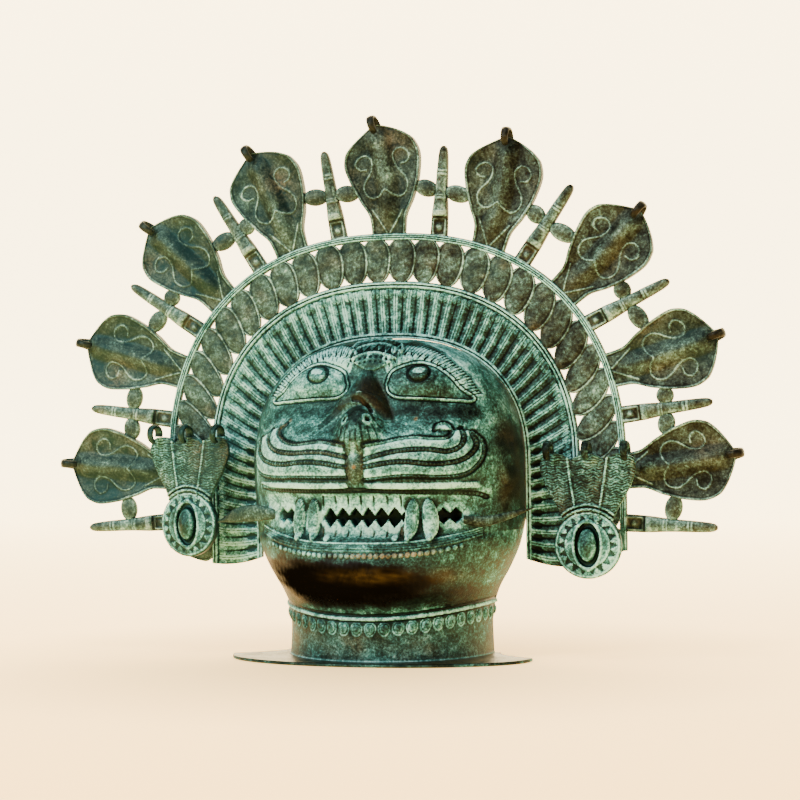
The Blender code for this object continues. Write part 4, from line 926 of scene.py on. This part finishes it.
def rib_band(material):
    """The ribbed band between the head and the inner ring."""
    shares = np.linspace(-1, 1, 980)
    places = np.linspace(0, 1, 62)
    flat, half_runs = zip(*[crown_row(place, shares) for place in places])
    flat = np.array(flat)
    half_run = np.array(half_runs)[:, None]
    out = places[:, None] * (RING1_HALF_WIDTH - HEAD_HALF_WIDTH)
    x, z = flat[..., 0], flat[..., 1]
    relief = Relief(x.shape)
    cell = 2 * half_run / RIB_COUNT
    phase = np.mod((shares[None] + 1) * RIB_COUNT / 2 + 0.06 * wobble(x, z, 0.05, 3), 1)
    to_ridge = np.abs(phase - 0.5) * cell
    to_middle = np.minimum(phase, 1 - phase) * cell
    inside = band(out, 0.0045, 0.0405, 0.0006)
    relief.lift += 0.0009 * inside * (1 - to_ridge / (0.5 * cell))
    for offset in (-1, 1):
        line = np.where(inside > 0.5, np.abs((phase - 0.5) * cell - offset * 0.00105), 1)
        relief.ridge(line, 0.00095, 0.0005, pale=0.30)
    relief.ridge(np.where(inside > 0.5, to_ridge, 1), 0.0005, -0.0003, dark=0.35)
    relief.pale *= np.clip(0.7 + 1.1 * wobble(x, z, 0.008, 12), 0, 1.4)
    relief.tint(dark=0.35 * np.clip(wobble(x, z, 0.028, 13), 0, 1) * inside)
    first, pitch, holes_end = 0.0080, 0.0040, 0.023
    order = np.clip(np.round((out - first) / pitch), 0, 3)
    spot = np.maximum(to_middle / 0.85, np.abs(out - first - pitch * order))
    strength = np.clip(1 - 0.22 * order, 0, 1) * (0.75 + 0.25 * wobble(x, z, 0.02, 7))
    relief.ridge(np.where(out < holes_end, spot, 1), 0.0014, -0.0008, dark=0.9)
    relief.dark *= np.clip(strength + 0.2, 0, 1)
    leg = rise(np.abs(shares), 0.52, 0.66)[None]
    relief.dark *= 1 - 0.7 * leg * (out < holes_end)
    blob = np.hypot(to_middle / 0.0030, (out - 0.0105) / 0.0046)
    relief.lift -= 0.0006 * leg * (blob < 1)
    relief.tint(dark=leg * np.clip(1.5 * (1 - blob), 0, 1))
    # Painted light and shade: the ribs are paler towards the lit left side and darker towards the right.
    painted_shade_right = rise(x, -0.10, 0.15)
    relief.pale += 0.22 * (1 - painted_shade_right) * inside
    relief.dark += 0.16 * painted_shade_right * inside
    boss = np.hypot(to_middle, out - 0.0375)
    relief.ridge(boss, 0.0034, 0.0014, dark=0.65)
    relief.ridge(boss - 0.0037, 0.0006, 0.0004, pale=0.6)
    relief.ridge(np.where(inside > 0.5, to_middle, 1), 0.0008, -0.0004, dark=0.55)
    for place, pale in ((0.0012, 0.5), (0.0036, 0.4)):
        relief.ridge(out - place, 0.0011, 0.0012, pale=pale)
    relief.ridge(out - 0.0024, 0.0006, -0.0004, dark=0.6)
    relief.lift += 0.00025 * wobble(x, z, 0.018, 4)
    relief.lift = np.maximum(relief.lift, -0.0008)
    parts = plate(flat, relief, relief.paint(4), sink=0.0002)
    make_piece("rib_band", parts, material, "crown")


def rings(material):
    """The inner and outer ring of the crown, each with raised wires."""
    parts = []
    shares = np.linspace(-1, 1, 700)
    width_share = RING_WIDTH / (RING2_HALF_WIDTH - RING1_HALF_WIDTH)
    inner, outer = (1, (-0.0013, 0.0013), (0,)), (2, (-0.0017, 0, 0.0017), (-0.00085, 0.00085))
    for place, wires, grooves in (inner, outer):
        offsets = np.linspace(-RING_EDGE, RING_EDGE, 19)
        flat = np.array([crown_row(place + offset * width_share, shares)[0] for offset in offsets])
        relief = Relief(flat.shape[:2])
        across = (offsets * RING_WIDTH)[:, None] + 0.0002 * wobble(flat[..., 0], flat[..., 1], 0.03, place)
        relief.lift += 0.0016 * np.clip(1 - (offsets / RING_EDGE) ** 2, 0, 1)[:, None] ** 0.5
        for wire in wires:
            relief.ridge(across - wire, 0.0009, 0.0008, pale=0.25)
        for groove in grooves:
            relief.ridge(across - groove, 0.0005, -0.0003, dark=0.7)
        parts += plate(flat, relief, relief.paint(3))
    make_piece("crown_rings", parts, material, "crown")


def petals(material):
    """The overlapping round petals between the rings."""
    parts = []
    half_count = PETAL_COUNT // 2
    levels = np.linspace(1.04, 1.96, 34)
    reach = np.where(levels < PETAL_WIDEST, 0.52, 0.40)
    half = 0.62 * np.maximum(1 - ((levels - PETAL_WIDEST) / reach) ** 2, 0.02)[:, None] ** 0.42 / half_count
    u = np.linspace(-1, 1, 19)[None]
    for i in range(-half_count, half_count):
        jitter = wobble(float(i), 0.0, 2.7, 6)
        share = (i + 0.5 + 0.04 * jitter) / half_count
        shares = share + u * half * (1 + 0.03 * jitter)
        flat = np.array([crown_row(level, row)[0] for level, row in zip(levels, shares)])
        x, z = flat[..., 0], flat[..., 1]
        relief = Relief(shares.shape)
        relief.lift += 0.0013 * (1 - u ** 2) + 0.0006 * u + 0.0003 * wobble(x, z, 0.012, 8)
        across = 0.0118 * np.abs(u) + 0 * half
        relief.ridge(across - 0.0106, 0.0010, 0.0006, pale=0.9)
        relief.ridge(across - 0.0090, 0.0009, -0.0003, dark=0.6)
        relief.warm += np.clip(0.12 + 0.60 * wobble(x, z, 0.030, 9), 0, 1)
        relief.dark += np.clip(0.10 + 0.35 * wobble(x, z, 0.021, 14 + i), 0, 0.5)
        paint = relief.paint(2)
        paint["raised"] = np.clip(0.45 + 0.35 * (paint["raised"] - 0.5) + 0.5 * relief.pale, 0, 1)
        parts += plate(flat, relief, paint, 6, 0.0003 + 0.0001 * (i % 2))
    make_piece("crown_petals", parts, material, "crown")


# Lines along and across a hood, in millimetres
HOOD_SCROLL = ((60.8, 15.8), (61.9, 21.6), (66.8, 24.5), (71.8, 21.4), (73.7, 15.9), (71.2, 11.2),
               (66.8, 9.7), (59.1, 11.7), (51.4, 17.3), (44.9, 19.8), (38.3, 18), (34.7, 13), (36, 6.7),
               (41, 0.3))
HOOD_CORNER = ((4, 1.5), (12, 6.5), (24, 13.8))


def hood(index, material):
    """A cobra hood with raised scrolls, a soft keel, an edge line and the loop at its tip."""
    flat, a, across, half, relief = limb(index, HOOD_LENGTH, 104, 74, hood_half)
    share = np.abs(across / half)
    swell = rise(a, 0.0, 0.030) * (1 - rise(a, 0.080, HOOD_LENGTH))
    relief.lift += swell * (0.0060 * bump(across, 0.012) + 0.0042 * share ** 3)
    edge = half - np.abs(across)
    relief.ridge(edge - 0.0014, 0.0010, 0.0008, pale=0.6)
    relief.ridge(edge - 0.0030, 0.0007, -0.0003, dark=0.4)
    for side in (-1, 1):
        scroll, _ = near(a, side * across, traced(HOOD_SCROLL, 5), 0.004)
        relief.ridge(scroll, 0.00080, 0.0008, pale=0.8)
        corner, _ = near(a, side * across, traced(HOOD_CORNER, 4), 0.004)
        relief.ridge(corner, 0.0009, 0.0007, pale=0.7)
    relief.lift += 0.00035 * wobble(a, across + 0.1 * index, 0.022, 10 + index)
    patch = wobble(a, across, 0.06, 20 + index)
    relief.warm += np.clip(0.20 + 0.55 * patch, 0, 1)
    relief.dark += np.clip(0.18 - 0.35 * patch, 0, 1) * (1 - 0.6 * share ** 2)
    paint = relief.paint(5)
    paint["raised"] = np.clip(0.36 + 0.25 * (paint["raised"] - 0.5) + 0.60 * relief.pale, 0, 1)
    parts = plate(flat, relief, paint, 3, 0.0002)
    tip, direction = (found[0] for found in axis_points(index, [HOOD_LENGTH]))
    path = curl(tip, direction, -0.25, 26)
    sideways = aside_of(direction)
    halves = smooth_curve([(0, 0.0052), (0.25, 0.0042), (1, 0.0028)], np.linspace(0, 1, len(path)))
    loop_paint = {"raised": 0.4, "dark": 0.50, "warm": 0.30, "polish": 0.3}
    parts.append(tube_net(path, halves, 0.0016, (sideways[0], 0, sideways[1]), 12, loop_paint))
    make_piece(f"hood_{index // 2 + 5:02d}", parts, material, "crown")


def spikes(material):
    """The finger-like spikes with a framed panel at the root and rings round the shaft."""
    parts = []
    last = len(SPIKE_PLACES) - 1
    for index in range(-last, last + 1, 2):
        flat, a, across, half, relief = limb(index, SPIKE_LENGTH, 84, 21, spike_half)
        round_part = rise(a, 0.016, 0.022)
        relief.lift += 0.85 * half * round_part * np.sqrt(np.clip(1 - (across / half) ** 2, 0, 1))
        panel = a - 0.0095
        frame = np.abs(np.maximum(np.abs(across) - 0.0052, np.abs(panel) - 0.0070))
        relief.ridge(frame, 0.0009, 0.0012, pale=0.8)
        relief.lift += 0.0012 * bump(np.hypot(across, panel), 0.0045)
        for place in (0.0205, 0.0235, 0.0350, 0.0375, 0.0560, 0.0585):
            relief.ridge(a - place, 0.0010, 0.0008, pale=0.5)
        relief.warm += np.clip(0.40 + 0.3 * wobble(a, across + 0.07 * index, 0.04, 30 + index), 0, 1)
        relief.dark += 0.15 + 0.35 * rise(a, 0.060, 0.075)
        parts += plate(flat, relief, relief.paint(3), 3, 0.0003)
    make_piece("crown_spikes", parts, material, "crown")


def knobs(material):
    """The round knobs that tie each hood to the spikes beside it."""
    parts = []
    last = len(SPIKE_PLACES) - 1
    for one in range(-last, last):
        flanks = []
        for index, other in ((one, one + 1), (one + 1, one)):
            place = np.array([KNOB_REACH])
            half = hood_half(place) if index % 2 == 0 else spike_half(place)
            point, heading = axis_points(index, place)
            flanks.append(point[0] + aside_of(heading)[0] * half[0] * (1 if other > index else -1))
        middle = (flanks[0] + flanks[1]) / 2
        span = flanks[1] - flanks[0]
        reach = np.linalg.norm(span)
        across = span / reach
        along = np.array([-across[1], across[0]])
        half = max(0.5 * reach + 0.002, KNOB_RADIUS)
        turns = np.linspace(0, 2 * math.pi, 28, endpoint=False)
        radial = np.linspace(0, 1, 9)[:, None]
        flat = (middle + across * (half * radial * np.cos(turns))[..., None]
                + along * (KNOB_RADIUS * radial * np.sin(turns))[..., None])
        lift = 0.0036 * np.sqrt(np.clip(1 - radial ** 2, 0, 1)) + 0 * turns
        lift = lift + 0.0007 * bump(radial - 0.82, 0.12)
        paint = {"raised": 0.5 + 0.3 * bump(radial - 0.85, 0.2), "warm": 0.35, "dark": 0.1}
        parts += domed_disc(*plate_sides(flat, lift, 0.0005), paint, {"raised": 0.5, "warm": 0.3},
                            {"raised": 0.4, "dark": 0.25})
    make_piece("crown_knobs", parts, material, "crown")


# Ear ornaments

def ear_place(x, z, turn):
    """A function that moves points from an ear ornament's own frame to its place."""
    def placed(points):
        a, y, b = points[..., 0], points[..., 1], points[..., 2]
        return np.stack([x + a * math.cos(turn) - y * math.sin(turn),
                         EAR_Y + a * math.sin(turn) + y * math.cos(turn), z + b], -1)
    return placed


def ear_sides(a, b, lift):
    """Front and back points of an ear ornament's wall over flat places."""
    return np.stack([a, -EAR_HALF_WALL - lift, b], -1), np.stack([a, np.full(a.shape, EAR_HALF_WALL), b], -1)


def ear_disc(placed):
    """The domed ear disc with a zigzag border round a deep ring and an oval boss."""
    boss_half, teeth = 0.0078, 18
    turns = np.linspace(0, 2 * math.pi, 150, endpoint=False)
    radial = np.linspace(0, 1, 52)[:, None]
    out = radial * EAR_DISC_RADIUS + 0 * turns
    a, b = out * np.cos(turns), out * np.sin(turns)
    relief = Relief(a.shape)
    relief.lift += 0.0062 * np.sqrt(np.clip(1 - (0.96 * radial) ** 2, 0, 1)) + 0 * turns
    oval = (np.hypot(a / boss_half, b / 0.0135) - 1) * boss_half
    relief.ridge(oval - 0.0016, 0.0018, -0.0034, dark=0.65)
    relief.ridge(oval - 0.0040, 0.0011, 0.0010, pale=0.7)
    dome = np.clip(-oval / boss_half, 0, 1)
    relief.lift += 0.0058 * np.sqrt(dome)
    relief.tint(dark=0.45 * (dome > 0))
    place = (out - 0.0195) / 0.0060
    saw = np.abs(2 * np.mod(turns * teeth / (2 * math.pi), 1) - 1)
    tooth = (place > 0) & (place < saw)
    relief.lift -= 0.0007 * tooth
    relief.tint(dark=0.45 * tooth * (0.8 + 0.6 * wobble(a, b, 0.012, 43)))
    relief.pale += 0.25
    relief.ridge(out - 0.0268, 0.0010, 0.0005, pale=0.6)
    front, back = ear_sides(a, b, relief.lift)
    return domed_disc(placed(front), placed(back), relief.paint(3), {"raised": 0.4, "dark": 0.2},
                      {"raised": 0.3, "dark": 0.3})


def ear_fan(placed):
    """The three-headed hood over the disc, hatched with scales and parted by two ridges."""
    foot, shoulder = 0.62 * EAR_DISC_RADIUS, EAR_HOOD_TOP - 0.007
    levels = np.linspace(0, 1, 96)[:, None]
    shares = np.linspace(-1, 1, 110)[None]
    half = smooth_curve([(0, EAR_NECK_HALF), (0.22, 0.62 * EAR_HOOD_HALF), (0.6, 0.90 * EAR_HOOD_HALF),
                         (0.85, EAR_HOOD_HALF), (1, 0.95 * EAR_HOOD_HALF)], levels)
    crest = 0.0065 * np.abs(np.cos(1.5 * math.pi * shares * 0.93)) ** 0.6
    a = shares * half
    b = foot + levels * (shoulder - 0.003 + crest - foot)
    relief = Relief(a.shape)
    relief.lift += 0.0035 * np.sqrt(np.clip(1 - shares ** 2, 0, 1)) * (1 - 0.4 * levels)
    wavy = b + 0.0010 * wobble(a, b, 0.009, 41) + 0.0016 * np.abs(np.mod(a, 0.010) / 0.005 - 1)
    hatch = np.abs(np.mod(wavy, 0.0022) - 0.0011) + 0.0006 * np.clip(wobble(a, b, 0.006, 42), 0, 1)
    relief.ridge(hatch, 0.00065, -0.0004, dark=0.6)
    for side in (-1, 1):
        line = np.abs(a - side * (0.0085 + 0.0085 * levels))
        relief.ridge(line, 0.0012, 0.0013, pale=0.7)
    relief.warm += np.clip(0.25 + 0.4 * wobble(a, b, 0.05, 40), 0, 1)
    relief.dark += 0.15
    collar = np.hypot(a, b) - EAR_DISC_RADIUS
    relief.ridge(collar - 0.0015, 0.0011, 0.0016, pale=0.8)
    relief.ridge(collar - 0.0032, 0.0011, -0.0008, dark=0.7)
    relief.ridge(collar - 0.0050, 0.0011, 0.0012, pale=0.7)
    front, back = ear_sides(a, b, relief.lift)
    plain = {"raised": 0.3, "dark": 0.3}
    return shell(placed(front), placed(back), relief.paint(3), plain, {"raised": 0.5}, 5)


def ear_hooks(placed):
    """A hook curling forward from each of the three heads."""
    parts = []
    hook_paint = {"raised": 0.35, "dark": 0.5, "warm": 0.1}
    for place in (-0.80, 0, 0.80):
        path = curl((place * EAR_HOOD_HALF, EAR_HOOD_TOP - 0.001), (0, 1), -0.3, 24)
        halves = np.linspace(0.0042, 0.0028, len(path))
        corners, quads, paint = tube_net(path, halves, 0.0018, (1, 0, 0), 12, hook_paint)
        parts.append((placed(corners), quads, paint))
    return parts


def ear_stem(x, z):
    """The stem from the ornament back to the crown."""
    turns = np.linspace(0, 2 * math.pi, 24, endpoint=False)
    depths = np.array([EAR_Y, -PLATE_FRONT - CLEARANCE])[:, None]
    points = np.stack([x + EAR_STEM_RADIUS * np.cos(turns) + 0 * depths, depths + 0 * turns,
                       z + EAR_STEM_RADIUS * np.sin(turns) + 0 * depths], -1)
    return net(points, {"raised": 0.4, "dark": 0.3}, closed=True, flip=True)


def ears(material):
    """Both ear ornaments."""
    for name, x, z, turn in (("ear_ornament_left", EAR_X, EAR_LEFT_Z, 0),
                             ("ear_ornament_right", -EAR_X, EAR_RIGHT_Z, -EAR_RIGHT_TURN)):
        placed = ear_place(x, z, turn)
        parts = ear_disc(placed) + ear_fan(placed) + ear_hooks(placed) + [ear_stem(x, z)]
        make_piece("looks_" + name, parts, material, name)


# Materials

def add_node(tree, kind, **inputs):
    """A shader node with its inputs set to values or linked to sockets, by name or number."""
    node = tree.nodes.new(kind)
    for key, value in inputs.items():
        number = int(key[1:]) if key[0] == "n" and key[1:].isdigit() else key.replace("_", " ")
        socket = node.inputs[number]
        if isinstance(value, Value):
            tree.links.new(value.socket, socket)
        else:
            socket.default_value = value
    return node


class Value:
    """A number or colour in a shader's tree that is summed like a plain number."""

    def __init__(self, tree, socket):
        self.tree = tree
        self.socket = socket

    def sum(self, operation, one, two):
        """A sum of two values in the tree."""
        node = add_node(self.tree, "ShaderNodeMath", n0=one, n1=two)
        node.operation = operation
        return Value(self.tree, node.outputs[0])

    def __add__(self, other):
        return self.sum("ADD", self, other)

    def __sub__(self, other):
        return self.sum("SUBTRACT", self, other)

    def __rsub__(self, other):
        return self.sum("SUBTRACT", other, self)

    def __mul__(self, other):
        return self.sum("MULTIPLY", self, other)

    def held(self):
        """The same sum held between 0 and 1."""
        self.socket.node.use_clamp = True
        return self

    def between(self, low, high):
        """0 at low, 1 at high."""
        node = add_node(self.tree, "ShaderNodeMapRange", Value=self, From_Min=low, From_Max=high)
        return Value(self.tree, node.outputs[0])

    def noise(self, scale, detail, roughness=0.6, distortion=0.0):
        """A noise value between 0 and 1 at this place."""
        node = add_node(self.tree, "ShaderNodeTexNoise", Vector=self, Scale=scale, Detail=detail,
                        Roughness=roughness, Distortion=distortion)
        return Value(self.tree, node.outputs["Fac"])

    def mixed(self, one, two):
        """Two colours mixed, with this as the share of the second."""
        node = self.tree.nodes.new("ShaderNodeMix")
        node.data_type = "RGBA"
        self.tree.links.new(self.socket, node.inputs[0])
        for socket, colour in ((node.inputs[6], one), (node.inputs[7], two)):
            if isinstance(colour, Value):
                self.tree.links.new(colour.socket, socket)
            else:
                socket.default_value = (*colour, 1)
        return Value(self.tree, node.outputs[2])

    def ramp(self, stops):
        """The colour at this place on a ramp through (place, colour) stops."""
        node = add_node(self.tree, "ShaderNodeValToRGB", n0=self)
        while len(node.color_ramp.elements) < len(stops):
            node.color_ramp.elements.new(0.5)
        for element, (place, colour) in zip(node.color_ramp.elements, stops):
            element.position = place
            element.color = (*colour, 1)
        return Value(self.tree, node.outputs[0])


def new_material(name):
    """A material with its tree, shader and the place on the piece."""
    material = bpy.data.materials.new(name)
    material.use_nodes = True
    tree = material.node_tree
    place = Value(tree, tree.nodes.new("ShaderNodeTexCoord").outputs["Object"])
    return material, tree, tree.nodes["Principled BSDF"], place


def patina(name, stops, olive, gold, bias):
    """Old bronze: verdigris on what stands proud, dark metal in the hollows, worn gold in places."""
    material, tree, shader, place = new_material(name)
    paint = add_node(tree, "ShaderNodeAttribute")
    paint.attribute_name = "paint"
    parts = add_node(tree, "ShaderNodeSeparateColor", Color=Value(tree, paint.outputs["Color"]))
    sockets = [*parts.outputs[:3], paint.outputs["Alpha"]]
    raised, dark, warm, polish = (Value(tree, socket) for socket in sockets)
    broad = place.noise(18, 5, 0.65, 0.6)
    medium = place.noise(95, 8, 0.75, 0.5)
    fine = place.noise(480, 5, 0.75)
    level = (raised - 0.5) * 0.85 + (broad - 0.5) * 1.1 + (medium - 0.5) * 1.6 + (fine - 0.5) * 1.7 + bias
    level = (level - dark * 0.55).held()
    colour = level.ramp(stops)
    blue = place.noise(9, 3, 0.5, 0.5).between(0.52, 0.72)
    # A bluer cast towards the left, lit side is painted light; the blue patches from noise are the patina's
    # own.
    across = Value(tree, add_node(tree, "ShaderNodeSeparateXYZ", Vector=place).outputs[0])
    tint = blue * 0.12 + across.between(0.05, -0.16) * 0.12
    colour = tint.mixed(colour, (0.034, 0.188, 0.180))
    worn = (warm * medium.between(0.38, 0.62)).held()
    tone = (fine + warm * 0.25).between(0.55, 0.85).mixed(olive, gold)
    colour = (worn * 0.8).held().mixed(colour, tone)
    # Polished places go from near black to amber: worn bronze, and on the chin partly a painted reflection.
    shine = place.noise(34, 5, 0.7, 0.8).between(0.30, 0.62)
    amber = (warm * warm * shine).mixed((0.0022, 0.0019, 0.0011), (0.080, 0.050, 0.012))
    colour = (polish * (medium + 0.9)).held().mixed(colour, amber)
    rough = (level * 0.35 + 0.42 - polish * 0.22).held()
    metal = (0.85 - level * 0.9).held() * (1.0 - polish * 1.15).held()
    gleam = (0.26 - polish * 0.26).held()
    relief = add_node(tree, "ShaderNodeBump", Strength=0.55 - polish * 0.40, Distance=0.0012,
                      Height=medium * 0.6 + fine * 0.5)
    for key, value in (("Base Color", colour), ("Roughness", rough), ("Metallic", metal),
                       ("Specular IOR Level", gleam), ("Normal", Value(tree, relief.outputs[0]))):
        tree.links.new(value.socket, shader.inputs[key])
    return material


def cream():
    """The glowing cream of the backdrop, brighter towards the back wall and warmer towards the front, with a
    painted shadow where its glow is dimmed round the mask.
    """
    material, tree, shader, place = new_material("backdrop_cream")
    parts = add_node(tree, "ShaderNodeSeparateXYZ", Vector=place)
    back = (Value(tree, parts.outputs[1]) + Value(tree, parts.outputs[2])).between(-1.0, 3.0)
    colour = back.mixed((1.0, 0.60, 0.19), (1.0, 0.84, 0.50))
    # Painted shadow: the glow is dimmed close to the mask's foot.
    away = add_node(tree, "ShaderNodeVectorMath", n0=place)
    away.operation = "LENGTH"
    shade = Value(tree, away.outputs["Value"]).between(0.05, 0.42)
    glow = shade * 2.55 + 0.70 + back * 2.6
    for key, value in (("Base Color", colour), ("Emission Color", colour), ("Emission Strength", glow)):
        tree.links.new(value.socket, shader.inputs[key])
    shader.inputs["Roughness"].default_value = 0.95
    return material


# Stage

def put_light(name, place, target, size, power, colour=(1, 1, 1)):
    """A soft square light aimed at a point."""
    data = bpy.data.lights.new(name, "AREA")
    data.size = size
    data.energy = power
    data.color = colour
    light = bpy.data.objects.new(name, data)
    light.location = place
    light.rotation_euler = (Vector(target) - Vector(place)).to_track_quat("-Z", "Y").to_euler()
    bpy.context.scene.collection.objects.link(light)


def put_camera():
    """The camera at the photo's angle."""
    data = bpy.data.cameras.new("camera")
    data.lens = CAMERA_LENS
    data.shift_x = SHIFT_X
    camera = bpy.data.objects.new("camera", data)
    camera.location = CAMERA_PLACE
    camera.rotation_euler = (math.radians(90), math.radians(CAMERA_ROLL), math.radians(CAMERA_AZIMUTH))
    bpy.context.scene.collection.objects.link(camera)
    bpy.context.scene.camera = camera


def backdrop():
    """A pale sweep: floor, bend and wall in one."""
    reach, bend_from, radius, top = 6.0, 2.2, 1.5, 5.0
    profile = [(-5.0, 0.0), (bend_from, 0.0)]
    for step in range(1, 13):
        turn = step / 12 * math.pi / 2
        profile.append((bend_from + radius * math.sin(turn), radius * (1 - math.cos(turn))))
    profile.append((bend_from + radius, top))
    corners = [(x, y, z) for y, z in profile for x in (-reach, reach)]
    faces = [(2 * i, 2 * i + 1, 2 * i + 3, 2 * i + 2) for i in range(len(profile) - 1)]
    mesh = bpy.data.meshes.new("backdrop")
    mesh.from_pydata(corners, [], faces)
    mesh.shade_smooth()
    mesh.materials.append(cream())
    sweep = bpy.data.objects.new("backdrop", mesh)
    bpy.context.scene.collection.objects.link(sweep)


def lights():
    """A soft key from the upper left, a weak fill and a dim room."""
    world = bpy.data.worlds.new("studio")
    world.use_nodes = True
    world.node_tree.nodes["Background"].inputs["Color"].default_value = (1, 0.98, 0.95, 1)
    world.node_tree.nodes["Background"].inputs["Strength"].default_value = 0.30
    bpy.context.scene.world = world
    put_light("key", (-1.2, -1.8, 1.3), (0, 0, 0.2), 0.55, 58)
    put_light("fill", (1.5, -1.7, 0.4), (0, 0, 0.2), 1.0, 7)
    put_light("top", (-0.1, -0.5, 1.9), (0, 0, 0.2), 0.6, 14)


def main():
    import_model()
    verdigris = patina("verdigris_bronze", [(0.0, (0.002, 0.005, 0.004)), (0.28, (0.008, 0.024, 0.018)),
                                            (0.5, (0.020, 0.088, 0.079)), (0.70, (0.062, 0.270, 0.246)),
                                            (1.0, (0.380, 0.800, 0.750))],
                       (0.026, 0.037, 0.018), (0.250, 0.150, 0.050), 0.50)
    brown = patina("brown_bronze", [(0.0, (0.004, 0.005, 0.003)), (0.28, (0.016, 0.026, 0.018)),
                                    (0.5, (0.038, 0.078, 0.063)), (0.70, (0.092, 0.222, 0.188)),
                                    (1.0, (0.400, 0.670, 0.585))],
                   (0.034, 0.046, 0.027), (0.165, 0.112, 0.048), 0.46)
    build_head(verdigris)
    rib_band(verdigris)
    rings(verdigris)
    petals(brown)
    last = len(HOOD_PLACES) - 1
    for index in range(-last, last + 1, 2):
        hood(index, brown)
    spikes(brown)
    knobs(brown)
    ears(verdigris)
    backdrop()
    lights()
    put_camera()


main()
